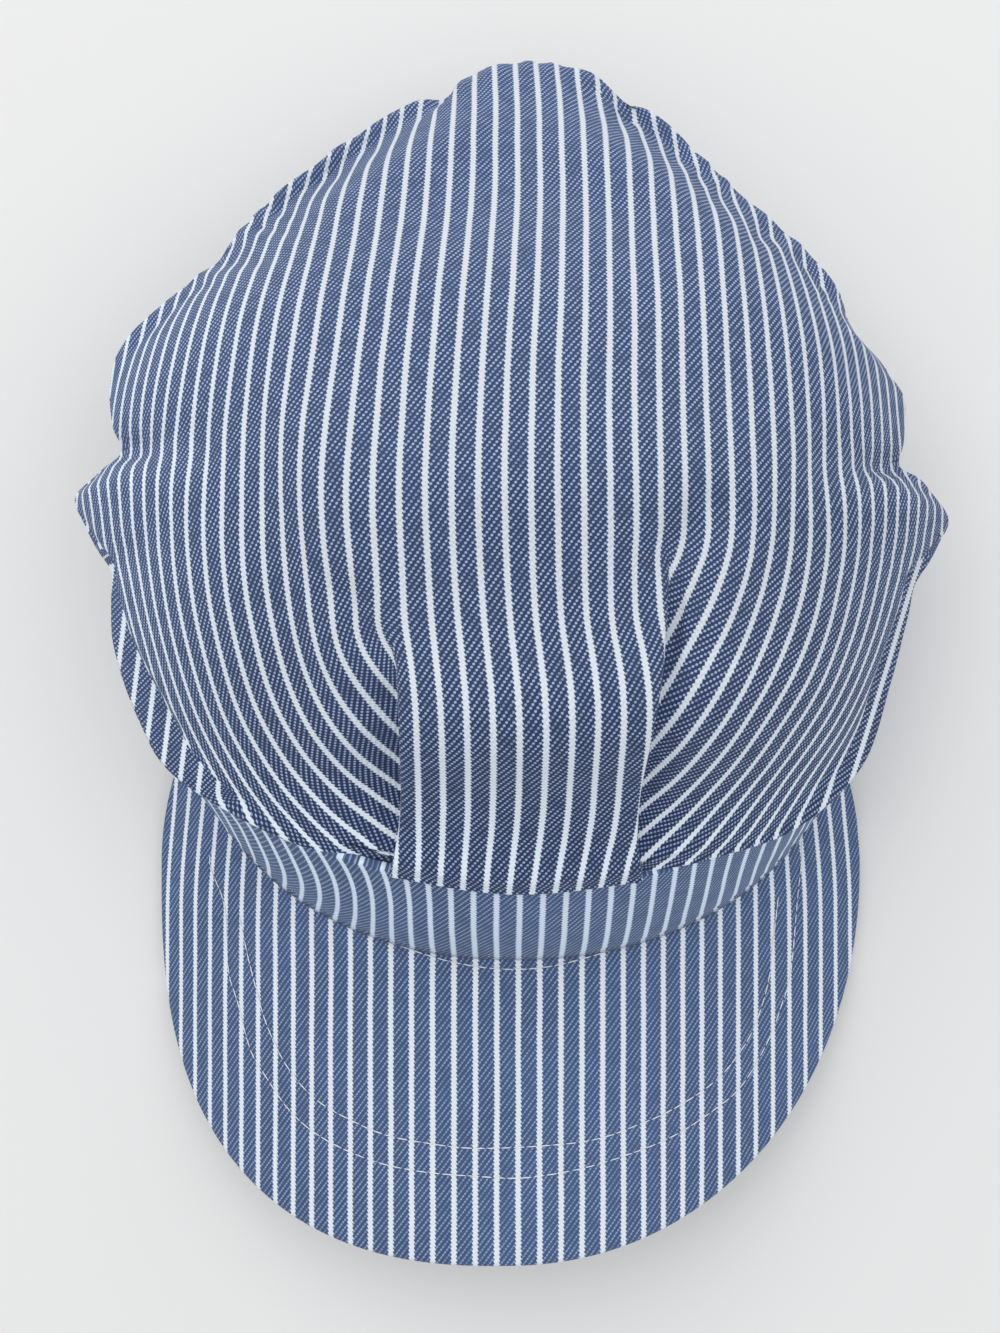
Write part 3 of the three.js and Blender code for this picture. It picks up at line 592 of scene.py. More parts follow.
def build_crown(look):
    count = len(SPOKES)
    columns, folds = crown_columns()
    base_count = count * COLUMNS_PER_SPOKE
    base, shares = crown_rings(np.arange(base_count) / COLUMNS_PER_SPOKE)
    base_normals = grid_normals(base)
    ring_total = len(shares)

    def sample(grid, places):
        k = np.floor(places * COLUMNS_PER_SPOKE).astype(int)
        t = (places * COLUMNS_PER_SPOKE - k)[..., None]
        ring = np.broadcast_to(np.arange(ring_total), places.shape)
        rows = [grid[(k + step) % base_count, ring] for step in (-1, 0, 1, 2)]
        return hermite(*rows, t)

    crease_ring = 3 + 2 * EDGE_RINGS - 1
    on_edge = 0.45 + 0.55 * smooth(1.0, 0.89, shares)
    places = np.array([c[0] for c in columns])[:, None] * np.ones((1, ring_total))
    height = np.zeros((len(columns), ring_total))
    # painted shade: a mask of where the rolled edge of a pleat shades the cloth under and beside it, which the finish
    # darkens
    painted_pleat_shade = np.zeros((len(columns), ring_total))
    for fold, (at, side, start, full, deep) in enumerate(folds):
        grown = smooth(start, full, shares)
        near = [sample(base, np.full(ring_total, at + side * off)) for off in (-0.25, 0.0, 0.25)]
        panel_mm = np.linalg.norm(near[1] - near[0], axis=-1) / 0.25
        side_mm = np.linalg.norm(near[2] - near[1], axis=-1) / 0.25
        for i, (place, owner, step) in enumerate(columns):
            if owner == fold:
                flat, folded, high = PLEAT_ROLL[step]
                span = panel_mm if folded < 0 else side_mm
                off = (1 - grown) * flat / 17.0 + grown * folded / np.maximum(span, 6.0)
                places[i] = at + side * off
                height[i] += grown * (high * deep if high < 0 else high) * on_edge
                painted_pleat_shade[i] = grown * smooth(0.0, -1.5, high)
            else:
                off = (place - at) * side
                off -= count * round(off / count)
                if off > 0:
                    height[i] -= PLEAT_DEPTH * deep * grown * on_edge * math.exp(-off / PLEAT_REACH)
                    painted_pleat_shade[i] = np.maximum(painted_pleat_shade[i], grown * math.exp(-((off - 0.25) / 0.55) ** 2))
    outer = sample(base, places)
    normals = unit(sample(base_normals, places))
    lift_way = normals.copy()
    lift_way[:, :crease_ring] = lift_way[:, crease_ring:crease_ring + 1]
    lift = height + creases_at(outer)
    lift[:, :crease_ring] = lift[:, crease_ring:crease_ring + 1]
    outer = outer + lift_way * lift[..., None]

    # Flat places of the cloth, cut open in the pocket of each pleat
    total = len(columns)
    cuts = {i: owner for i, (_, owner, step) in enumerate(columns) if owner >= 0 and step == PLEAT_CUT}
    left_id = np.arange(total * ring_total).reshape(total, ring_total)
    right_id = left_id.copy()
    extra = total * ring_total
    for i, owner in cuts.items():
        _, _, start, full, _ = folds[owner]
        opened = smooth(start, full, shares) > 0.1
        right_id[i, opened] = extra + np.arange(opened.sum())
        extra += int(opened.sum())
    top_left, top_right = left_id.copy(), right_id.copy()
    place_of = np.array([c[0] for c in columns])
    hung_by = np.stack([smooth(low - 0.3, low, place_of) * (1 - smooth(high, high + 0.3, place_of))
                        for low, high in OVERHANGS])
    hung = hung_by.max(axis=0) > 0
    for i in np.nonzero(hung)[0]:
        top_left[i, crease_ring] = top_right[i, crease_ring] = extra
        extra += 1
    hub = np.array([HUB[0], HUB[1], float(roof_height(np.array([HUB[0]]), np.array([HUB[1]]))[0])])
    top_id = extra
    solve_points = np.zeros((extra + 1, 3))
    solve_points[left_id] = outer
    solve_points[right_id] = outer
    solve_points[top_left] = outer
    solve_points[top_right] = outer
    solve_points[top_id] = hub

    after = np.roll(np.arange(total), -1)
    strip_mid = (outer + outer[after]) / 2
    strip_mid = (strip_mid[:, :-1] + strip_mid[:, 1:]) / 2
    up = unit((outer[:, 1:] - outer[:, :-1]) + (outer[after][:, 1:] - outer[after][:, :-1]))
    across = (outer[after][:, 1:] - outer[:, 1:]) + (outer[after][:, :-1] - outer[:, :-1])
    face_normal = unit(np.cross(across, up))
    bent = np.cross(face_normal, up)
    eye = np.array([0.0, 0.0, EYE_HEIGHT])
    ray = unit(strip_mid - eye)
    scale = EYE_HEIGHT / (EYE_HEIGHT - strip_mid[..., 2])
    sight_x, sight_y = strip_mid[..., 0] * scale, strip_mid[..., 1] * scale
    panel = np.zeros(total, dtype=bool)
    right_cut = next(i for i, owner in cuts.items() if folds[owner][1] > 0)
    left_cut = next(i for i, owner in cuts.items() if folds[owner][1] < 0)
    panel[:right_cut] = True
    panel[left_cut:] = True
    lean = np.where(panel[:, None], lean_at(sight_x, sight_y, LEAN_PANEL), lean_at(sight_x, sight_y, LEAN_SIDE))
    far = sight_y > 29
    lean = np.where(far, lean_at(sight_x, sight_y, LEAN_SIDE), lean)
    lean = np.radians(lean)
    drawn = np.stack([np.sin(lean), np.cos(lean), np.zeros_like(lean)], axis=-1)
    facing = -np.einsum('ijk,ijk->ij', ray, face_normal)
    along = drawn - ray * (np.einsum('ijk,ijk->ij', drawn, face_normal)
                           / np.where(np.abs(facing) < 1e-3, 1e-3, -facing))[..., None]
    turn = np.arctan2(np.einsum('ijk,ijk->ij', along, bent), np.einsum('ijk,ijk->ij', along, up))
    seen = facing > 0.3
    ring_index = np.arange(ring_total - 1)
    for i in range(total):
        known = seen[i] | (shares[:-1] < 0.6)
        turn[i] = np.interp(ring_index, ring_index[known], np.unwrap(turn[i][known]))
    owner_of = np.array([c[1] for c in columns])
    step_of = np.array([c[2] for c in columns])
    for fold, (at, side, start, full, deep) in enumerate(folds):
        own = np.nonzero(owner_of == fold)[0]
        order = own if side > 0 else own[::-1]
        strips = order[:-1] if side > 0 else order[1:]
        for step, strip in enumerate(strips):
            if 2 <= step < PLEAT_CUT:
                turn[strip] = turn[strips[1]]
            elif PLEAT_CUT <= step < len(strips) - 1:
                turn[strip] = turn[strips[-1]]
    along = np.cos(turn)[..., None] * up + np.sin(turn)[..., None] * bent
    sideways = np.cross(along, face_normal)
    # Cloth is taken in toward the sides
    edge_x = np.where(strip_mid[..., 0] < CREST_X, section_at(1, strip_mid[..., 1]), section_at(4, strip_mid[..., 1]))
    out = np.abs((strip_mid[..., 0] - CREST_X) / (edge_x - CREST_X))
    sideways = sideways * (1 + SIDE_FULLNESS * smooth(0.66, 1.0, out))[..., None]

    i, j = np.meshgrid(np.arange(total), np.arange(crease_ring, ring_total - 1), indexing='ij')
    low_a = np.where(j == crease_ring, top_right[i, j], right_id[i, j])
    low_b = np.where(j == crease_ring, top_left[after[i], j], left_id[after[i], j])
    high_a, high_b = right_id[i, j + 1], left_id[after[i], j + 1]
    first = np.stack([low_a, low_b, high_b], axis=-1).reshape(-1, 3)
    second = np.stack([low_a, high_b, high_a], axis=-1).reshape(-1, 3)
    lid = np.stack([right_id[:, -1], left_id[after, -1], np.full(total, top_id)], axis=-1)
    triangles = np.concatenate([first, second, lid])
    flat_side = sideways[:, crease_ring:].reshape(-1, 3)
    flat_along = along[:, crease_ring:].reshape(-1, 3)
    targets = [np.concatenate([flat_side, flat_side, sideways[:, -1]]),
               np.concatenate([flat_along, flat_along, along[:, -1]])]
    u, v = lay_flat(solve_points, triangles, targets, [solve_points[:, 0] * 1.0, solve_points[:, 1] * 1.0])
    roof = shares < 0.95
    near = np.linalg.norm(outer[:, roof][..., :2] - np.array(CENTRE_STRIPE_AT), axis=-1)
    spot = np.unravel_index(np.argmin(near), near.shape)
    at_spot = outer[:, roof][spot]
    u -= u[left_id[:, roof][spot]] - (at_spot[0] - CENTRE_STRIPE_AT[0])
    v -= v[top_id]

    # Below the edge of the roof the stripes run on as they are seen from overhead, then down the wall
    edge_rings = slice(0, crease_ring + 1)
    bulge_ring = 2 + EDGE_RINGS
    level = outer[:, edge_rings, 2]
    seen_at = outer[:, edge_rings, :2] * (EYE_HEIGHT / (EYE_HEIGHT - level))[..., None]
    way = unit(normals[:, bulge_ring, :2])
    drop = np.maximum(level[:, -1:] - level, 0)
    reach = seen_at - seen_at[:, -1:] + way[:, None] * (WALL_SHARE * drop)[..., None]
    for ring in range(bulge_ring - 1, -1, -1):
        step = np.linalg.norm(outer[:, ring] - outer[:, ring + 1], axis=-1)
        reach[:, ring] = reach[:, ring + 1] + way * step[:, None]

    def turned(place, tilt):
        c, s = np.cos(tilt)[:, None], np.sin(tilt)[:, None]
        return np.stack([place[..., 0] * c - place[..., 1] * s, place[..., 0] * s + place[..., 1] * c], axis=-1)

    flat_uv = np.stack([u, v], axis=-1)
    run_on = turned(reach, lean[:, crease_ring])
    ledge_lean = np.radians(np.where(seen_at[:, -1, 0] < 0, LEAN_LOWER[0], LEAN_LOWER[1]))
    ledge = turned(reach + seen_at[:, -1:], ledge_lean)
    for ids, tops in ((left_id, top_left), (right_id, top_right)):
        joined = flat_uv[tops[:, crease_ring]][:, None] + run_on
        for share, (low, high) in zip(hung_by, OVERHANGS):
            end = np.argmin(np.abs(place_of - (high if low > count / 2 else low)))
            apart = ledge + (joined[end, bulge_ring] - ledge[end, bulge_ring])
            joined = joined * (1 - share)[:, None, None] + apart * share[:, None, None]
        flat_uv[ids[:, :crease_ring]] = joined[:, :-1]
        flat_uv[ids[hung, crease_ring]] = joined[hung, -1]
    i, j = np.meshgrid(np.arange(total), np.arange(ring_total - 1), indexing='ij')
    low_a, low_b = right_id[i, j], left_id[after[i], j]
    high_a, high_b = right_id[i, j + 1], left_id[after[i], j + 1]
    low_a = np.where(j == crease_ring, top_right[i, j], low_a)
    low_b = np.where(j == crease_ring, top_left[after[i], j], low_b)
    across_cell = outer[after][:, 1:] - outer[:, :-1], outer[:, 1:] - outer[after][:, :-1]
    area = np.linalg.norm(np.cross(*across_cell), axis=-1).sum() / 2

    # Soft unevenness, puckers at the seam and gathers at the back
    shape_normal = unit(sample(base_normals, places))
    soft = value_noise(outer, 34.0, 5) * 0.55 + value_noise(outer, 15.0, 6) * 0.28
    soft *= smooth(1.25, 0.9, shares)[None]
    gather = smooth(4.5, 8.5, np.minimum(np.abs(place_of), count - np.abs(place_of)))
    wave = np.sin(place_of * 2 * math.pi * 2.6 + 2.2 * np.sin(place_of * 3.1) + 1.4 * np.sin(place_of * 7.7))
    near_seam = np.exp(-((shares - 1.24) / 0.035) ** 2)
    near_seam = np.where(shares > 1.28, 0.2, near_seam)
    behind = smooth(10.0, 11.5, np.minimum(np.abs(place_of), count - np.abs(place_of)))
    over_lip = 0.8 * np.exp(-((1 - shares).clip(0) / 0.07)) * np.where(shares > 1.05, smooth(1.25, 1.05, shares), 1.0)
    puckers = look.gather_depth * 1000 * wave[:, None] * (
        near_seam[None] * (0.25 + 0.75 * gather)[:, None] + over_lip[None] * behind[:, None])
    outer = outer + shape_normal * (soft + puckers)[..., None]

    # The cloth is drawn thin where it doubles back under the edge
    thick = CROWN_CLOTH * (0.12 + 0.88 * smooth(1.0, 0.9, shares))
    inner = outer - shape_normal * thick[None, :, None]
    points = np.concatenate([outer.reshape(-1, 3), inner.reshape(-1, 3), hub[None], hub[None] - (0, 0, CROWN_CLOTH)])
    half = total * ring_total
    grid_id = np.arange(half).reshape(total, ring_total)
    top, under = 2 * half, 2 * half + 1
    a, b = grid_id[i, j], grid_id[after[i], j]
    c, d = grid_id[after[i], j + 1], grid_id[i, j + 1]
    uv_quad = np.stack([flat_uv[low_a], flat_uv[low_b], flat_uv[high_b], flat_uv[high_a]], axis=2).reshape(-1, 4, 2)
    outside = np.stack([a, b, c, d], axis=-1).reshape(-1, 4)
    inside = outside[:, ::-1] + half
    cap = np.stack([grid_id[:, -1], grid_id[after, -1], np.full(total, top), np.full(total, top)], axis=-1)
    cap_uv = np.stack([flat_uv[right_id[:, -1]], flat_uv[left_id[after, -1]],
                       np.repeat(flat_uv[top_id][None], total, 0), np.repeat(flat_uv[top_id][None], total, 0)], axis=1)
    cup = np.stack([grid_id[after, -1] + half, grid_id[:, -1] + half, np.full(total, under), np.full(total, under)],
                   axis=-1)
    cup_uv = cap_uv[:, [1, 0, 2, 3]]
    rim = np.stack([grid_id[after, 0], grid_id[:, 0], grid_id[:, 0] + half, grid_id[after, 0] + half], axis=-1)
    rim_uv = np.stack([flat_uv[left_id[after, 0]], flat_uv[right_id[:, 0]],
                       flat_uv[right_id[:, 0]], flat_uv[left_id[after, 0]]], axis=1)
    quads = np.concatenate([outside, inside, cap, cup, rim])
    corner_uv = np.concatenate([uv_quad, uv_quad[:, ::-1], cap_uv, cup_uv, rim_uv])
    thing = sheet_mesh('crown_twill', points, quads, corner_uv)
    # the painted pleat shade goes to the finish as a point attribute
    depth = np.concatenate([painted_pleat_shade.ravel(), painted_pleat_shade.ravel(), [0.0, 0.0]]).astype(np.float32)
    thing.data.attributes.new('painted_pleat_shade', 'FLOAT', 'POINT').data.foreach_set('value', depth)
    size = flat_uv.max(axis=0) - flat_uv.min(axis=0)
    return thing, size / 1000.0, area / 1e6


# Band
def build_band(look):
    count = len(SPOKES)
    places = np.arange(BAND_COLUMNS) * count / BAND_COLUMNS
    seam = spoke_at(places)['seam']
    angle = np.arctan2(seam[:, 1], seam[:, 0] - FOOT['x'])
    foot2 = foot_point(angle, 0.0)
    foot = np.column_stack([foot2, foot_height(foot2[:, 0], foot2[:, 1])])
    inner2 = foot_point(angle, BAND_CLOTH)
    inner_foot = np.column_stack([inner2, foot_height(inner2[:, 0], inner2[:, 1])])
    out = np.stack([np.cos(angle), np.sin(angle), np.zeros_like(angle)], axis=-1)
    rise = unit(seam - foot)
    normal = unit(out - rise * np.einsum('ij,ij->i', out, rise)[:, None])
    inward = unit(np.column_stack([HUB[0] - seam[:, 0], HUB[1] - seam[:, 1], np.zeros(len(seam))]))

    def run_of(line, start):
        lengths = np.linalg.norm(np.roll(line, -1, axis=0) - line, axis=1)
        run = np.concatenate([[0], np.cumsum(lengths)])
        middle = BAND_COLUMNS // 2
        whole = np.concatenate([run[:middle + 1], run[middle + 1:-1] - run[-1]])
        return whole + start, run[-1]

    zero = arch_length(np.array([-0.7]))[0]
    foot_run, foot_total = run_of(foot, arch_length(foot[:1, 0])[0] - zero)
    seam_run, seam_total = run_of(seam, arch_length(seam[:1, 0])[0] - zero)
    height = np.linalg.norm(seam - foot, axis=1)
    away = np.minimum(places, count - places)
    upright = smooth(3.0, 8.0, away)
    seam_run = seam_run * (1 - upright) + foot_run * upright
    gathered = smooth(8.5, 11.5, away)
    wave = np.sin(foot_run * 2 * math.pi / 6.2 + 1.3 * np.sin(foot_run * 0.21) + 0.8 * np.sin(foot_run * 0.53))
    outer, inner, flat = [], [], []
    for j in range(BAND_RINGS + 1):
        t = j / BAND_RINGS
        belly = math.sin(math.pi * t)
        full = min(1.0, 3.2 * t, 3.2 * (1 - t)) ** 0.7
        p = foot + (seam - foot) * t + normal * (1.2 * belly)
        noise = value_noise(p, 17.0, 11) * 0.35 + value_noise(p, 7.0, 12) * 0.12
        lift = full * (noise + look.gather_depth * 1000 * 0.9 * gathered * wave)
        hem = -0.35 * math.exp(-((t * height.mean() - 1.6) / 0.8) ** 2)
        beside = np.where(foot[:, 1] < 5, smooth(18, 40, np.abs(foot[:, 0] - 4)), 0.0)
        tucks = np.where(foot[:, 0] < 0, 1.3, 1.0) * np.sin(foot_run * 2 * math.pi / 4.9 + 0.8 * np.sin(foot_run * 0.31)) * beside * full
        tucks = tucks * np.exp(-(t * height / 3.2) ** 2)
        q = p + normal * (lift + hem + tucks)[:, None]
        outer.append(q)
        if j == 0:
            inner.append(inner_foot)
        elif j == BAND_RINGS:
            inner.append(seam + inward * BAND_CLOTH)
        else:
            inner.append(p + normal * (0.4 * lift)[:, None] - normal * BAND_CLOTH)
        pull = 3.3 * belly * np.exp(-((foot[:, 0] + 46) / 20) ** 2) * (foot[:, 1] < 10)
        pull = pull - 1.0 * belly * np.exp(-((foot[:, 0] - 60) / 18) ** 2) * (foot[:, 1] < 10)
        flat.append(np.stack([foot_run * (1 - t) + seam_run * t - pull, t * height], axis=-1))
    outer, inner, flat = (np.stack(rows, axis=1) for rows in (outer, inner, flat))
    middle = BAND_COLUMNS // 2
    end = flat[middle].copy()
    end[:, 0] -= foot_total
    rings = BAND_RINGS + 1
    half = BAND_COLUMNS * rings
    grid_id = np.arange(half).reshape(BAND_COLUMNS, rings)
    after = np.roll(np.arange(BAND_COLUMNS), -1)
    i, j = np.meshgrid(np.arange(BAND_COLUMNS), np.arange(rings - 1), indexing='ij')
    outside = np.stack([grid_id[i, j], grid_id[after[i], j], grid_id[after[i], j + 1], grid_id[i, j + 1]],
                       axis=-1).reshape(-1, 4)
    left = flat.copy()
    left[middle] = end
    near, far = left, flat[after]
    uv = np.stack([near[i, j], far[i, j], far[i, j + 1], near[i, j + 1]], axis=2).reshape(-1, 4, 2)
    bottom = np.stack([grid_id[after, 0], grid_id[:, 0], grid_id[:, 0] + half, grid_id[after, 0] + half], axis=-1)
    bottom_uv = np.stack([far[:, 0], near[:, 0], near[:, 0], far[:, 0]], axis=1)
    top = np.stack([grid_id[:, -1], grid_id[after, -1], grid_id[after, -1] + half, grid_id[:, -1] + half], axis=-1)
    top_uv = np.stack([near[:, -1], far[:, -1], far[:, -1], near[:, -1]], axis=1)
    points = np.concatenate([outer.reshape(-1, 3), inner.reshape(-1, 3)])
    quads = np.concatenate([outside, outside[:, ::-1] + half, bottom, top])
    corner_uv = np.concatenate([uv, uv[:, ::-1], bottom_uv, top_uv])
    thing = sheet_mesh('band_twill', points, quads, corner_uv)
    area = np.sum(height * np.linalg.norm(np.roll(foot + seam, -1, axis=0) - foot - seam, axis=1) / 2) / 1e6
    return thing, (max(foot_total, seam_total) / 1000.0, height.max() / 1000.0 * 1.04), area


# Peak
def on_peak(pixels):
    """Points on the top of the peak under sight lines given in pixels."""
    p = np.asarray(pixels, dtype=float)
    x0 = (p[:, 0] - SIGHT_CENTRE[0]) * EYE_HEIGHT / SIGHT_SCALE
    y0 = (SIGHT_CENTRE[1] - p[:, 1]) * EYE_HEIGHT / SIGHT_SCALE
    x, y = x0, y0
    for _ in range(8):
        shrink = (EYE_HEIGHT - arch_height(x)) / EYE_HEIGHT
        x, y = x0 * shrink, y0 * shrink
    return np.column_stack([x, y])


def stitch_lines():
    return {name: resample_row(on_peak(row), 160) for name, row in STITCH_ROWS.items()}


def build_peak(look):
    shares = np.linspace(0, 1, PEAK_COLUMNS + 1)
    a, b = peak_inner(shares), peak_edge(shares)
    way = b - a
    length = np.linalg.norm(way, axis=1)
    toward = way / length[:, None]
    lines = np.concatenate(list(stitch_lines().values()))
    edge_round = 1.35
    rings = []
    profile = [('top', t / PEAK_ROWS) for t in range(PEAK_ROWS + 1)]
    profile += [('edge', k / 8) for k in range(1, 8)]
    profile += [('under', 1 - t / PEAK_ROWS) for t in range(PEAK_ROWS + 1)]
    for kind, t in profile:
        if kind == 'edge':
            turn = math.pi * t
            reach = length - edge_round + edge_round * math.sin(turn)
            lowered = PEAK_CLOTH / 2 * (1 - math.cos(turn))
            xy = a + toward * reach[:, None]
            rings.append(arch_point(xy[:, 0], xy[:, 1], np.full(len(xy), lowered)))
            continue
        xy = a + toward * ((length - edge_round) * t)[:, None]
        point = arch_point(xy[:, 0], xy[:, 1], np.full(len(xy), 0.0 if kind == 'top' else PEAK_CLOTH))
        gap = np.full(len(xy), 1e9)
        for start in range(0, len(lines), 60):
            part = lines[start:start + 60]
            gap = np.minimum(gap, ((xy[:, None] - part[None]) ** 2).sum(axis=-1).min(axis=1))
        groove = -0.32 * np.exp(-gap / (2 * 0.75 ** 2))
        rest = value_noise(point, 13.0, 21) * 0.12 + value_noise(point, 40.0, 22) * 0.2
        rest = rest * smooth(0, 0.12, 1 - t)
        sign = 1 if kind == 'top' else -0.5
        rings.append(point + arch_normal(xy[:, 0]) * ((groove + rest) * sign)[:, None])
    grid = np.stack(rings, axis=1)
    columns, rows = grid.shape[:2]
    grid_id = np.arange(columns * rows).reshape(columns, rows)
    i, j = np.meshgrid(np.arange(columns - 1), np.arange(rows), indexing='ij')
    nxt = (j + 1) % rows
    quads = np.stack([grid_id[i, j], grid_id[i, nxt], grid_id[i + 1, nxt], grid_id[i + 1, j]], axis=-1).reshape(-1, 4)
    zero = arch_length(np.array([-0.7]))[0]
    corner = smooth(-62, -22, grid[..., 1]) ** 1.3
    pull = corner * (3.4 * smooth(-35, -72, grid[..., 0]) - 3.0 * smooth(42, 76, grid[..., 0]))
    flat = np.stack([arch_length(grid[..., 0]) - zero - pull, grid[..., 1]], axis=-1)
    flat = flat.reshape(-1, 2)
    uv = flat[quads]
    ends = []
    half_rows = rows // 2
    for column, flip in ((0, False), (columns - 1, True)):
        for j in range(half_rows):
            one, two = grid_id[column, j], grid_id[column, j + 1]
            three, four = grid_id[column, rows - 2 - j], grid_id[column, rows - 1 - j]
            if two == three:
                face = [one, four, two, two]
                face = [one, two, four, four] if flip else face
            elif two > three:
                continue
            else:
                face = [one, four, three, two]
                face = face[::-1] if flip else face
            ends.append(face)
    ends = np.array(ends)
    quads = np.concatenate([quads, ends])
    uv = np.concatenate([uv, flat[ends]])
    points = grid.reshape(-1, 3)
    a0, b0, c0, d0 = (points[quads[:, k]] for k in range(4))
    volume = np.einsum('ij,ij->i', a0, np.cross(b0, c0)).sum() + np.einsum('ij,ij->i', a0, np.cross(c0, d0)).sum()
    if volume < 0:
        order = np.where((quads[:, 2] == quads[:, 3])[:, None], [1, 0, 2, 3], [3, 2, 1, 0])
        quads = np.take_along_axis(quads, order, axis=1)
        uv = np.take_along_axis(uv, order[..., None], axis=1)
    thing = sheet_mesh('peak_twill', points, quads, uv)
    top = grid[:, :PEAK_ROWS + 1]
    size = (float(flat[:, 0].max() - flat[:, 0].min()) / 1000, float(flat[:, 1].max() - flat[:, 1].min()) / 1000)
    cell = np.cross(top[1:, 1:] - top[:-1, :-1], top[:-1, 1:] - top[1:, :-1])
    area = np.linalg.norm(cell, axis=-1).sum() / 2 / 1e6
    return thing, size, area


# Stitches
def stitch_tree():
    """Node tree that sets a thread stitch at even steps along each path of its mesh."""
    tree = bpy.data.node_groups.new('stitches_along_path', 'GeometryNodeTree')
    face = tree.interface
    face.new_socket('Path', in_out='INPUT', socket_type='NodeSocketGeometry')
    names = {}
    for label, kind, default in (('Stitch spacing', 'NodeSocketFloat', 0.003), ('Stitch length', 'NodeSocketFloat', 0.0024),
                                 ('Thread radius', 'NodeSocketFloat', 0.0002), ('Seed', 'NodeSocketInt', 7),
                                 ('Thread', 'NodeSocketMaterial', None)):
        socket = face.new_socket(label, in_out='INPUT', socket_type=kind)
        if default is not None:
            socket.default_value = default
        names[label] = socket.identifier
    face.new_socket('Stitches', in_out='OUTPUT', socket_type='NodeSocketGeometry')
    nodes, links = tree.nodes, tree.links
    start = nodes.new('NodeGroupInput')
    curve = nodes.new('GeometryNodeMeshToCurve')
    steps = nodes.new('GeometryNodeResampleCurve')
    steps.mode = 'LENGTH'
    links.new(start.outputs['Path'], curve.inputs['Mesh'])
    links.new(curve.outputs['Curve'], steps.inputs['Curve'])
    links.new(start.outputs['Stitch spacing'], steps.inputs['Length'])
    bead = nodes.new('GeometryNodeMeshUVSphere')
    bead.inputs['Segments'].default_value = 8
    bead.inputs['Rings'].default_value = 7
    bead.inputs['Radius'].default_value = 1.0
    half = nodes.new('ShaderNodeMath')
    half.operation = 'MULTIPLY'
    half.inputs[1].default_value = 0.5
    links.new(start.outputs['Stitch length'], half.inputs[0])
    scale = nodes.new('ShaderNodeCombineXYZ')
    links.new(half.outputs[0], scale.inputs['X'])
    links.new(start.outputs['Thread radius'], scale.inputs['Y'])
    links.new(start.outputs['Thread radius'], scale.inputs['Z'])
    shape = nodes.new('GeometryNodeTransform')
    links.new(bead.outputs['Mesh'], shape.inputs['Geometry'])
    links.new(scale.outputs[0], shape.inputs['Scale'])
    tangent = nodes.new('GeometryNodeInputTangent')
    face_along = nodes.new('FunctionNodeAlignRotationToVector')
    face_along.axis = 'X'
    links.new(tangent.outputs[0], face_along.inputs['Vector'])
    wander = nodes.new('FunctionNodeRandomValue')
    wander.data_type = 'FLOAT_VECTOR'
    wander.inputs[0].default_value = (0.86, 0.9, 0.9)
    wander.inputs[1].default_value = (1.08, 1.1, 1.1)
    links.new(start.outputs['Seed'], wander.inputs['Seed'])
    place = nodes.new('GeometryNodeInstanceOnPoints')
    links.new(steps.outputs['Curve'], place.inputs['Points'])
    links.new(shape.outputs['Geometry'], place.inputs['Instance'])
    links.new(face_along.outputs['Rotation'], place.inputs['Rotation'])
    links.new(wander.outputs[0], place.inputs['Scale'])
    real = nodes.new('GeometryNodeRealizeInstances')
    links.new(place.outputs['Instances'], real.inputs['Geometry'])
    even = nodes.new('GeometryNodeSetShadeSmooth')
    links.new(real.outputs['Geometry'], even.inputs['Geometry'])
    dress = nodes.new('GeometryNodeSetMaterial')
    links.new(even.outputs['Geometry'], dress.inputs['Geometry'])
    links.new(start.outputs['Thread'], dress.inputs['Material'])
    finish = nodes.new('NodeGroupOutput')
    links.new(dress.outputs['Geometry'], finish.inputs[0])
    return tree, names


def stitched(name, paths, look, thread, spacing, length):
    """A plain mesh of stitches along the given paths."""
    mesh = bpy.data.meshes.new(name + '_path')
    points, edges = [], []
    for path in paths:
        base = len(points)
        points += [tuple(p) for p in to_frame(np.asarray(path))]
        edges += [(base + k, base + k + 1) for k in range(len(path) - 1)]
    mesh.from_pydata(points, edges, [])
    carrier = bpy.data.objects.new(name, mesh)
    bpy.context.scene.collection.objects.link(carrier)
    tree, names = stitch_tree()
    layer = carrier.modifiers.new('stitches', 'NODES')
    layer.node_group = tree
    layer[names['Stitch spacing']] = spacing
    layer[names['Stitch length']] = length
    layer[names['Thread radius']] = look.thread_thickness / 2
    layer[names['Seed']] = 7
    layer[names['Thread']] = thread
    bpy.context.view_layer.update()
    evaluated = carrier.evaluated_get(bpy.context.evaluated_depsgraph_get())
    plain = bpy.data.meshes.new_from_object(evaluated)
    carrier.modifiers.clear()
    carrier.data = plain
    plain.name = name
    bpy.data.meshes.remove(mesh)
    bpy.data.node_groups.remove(tree)
    return carrier


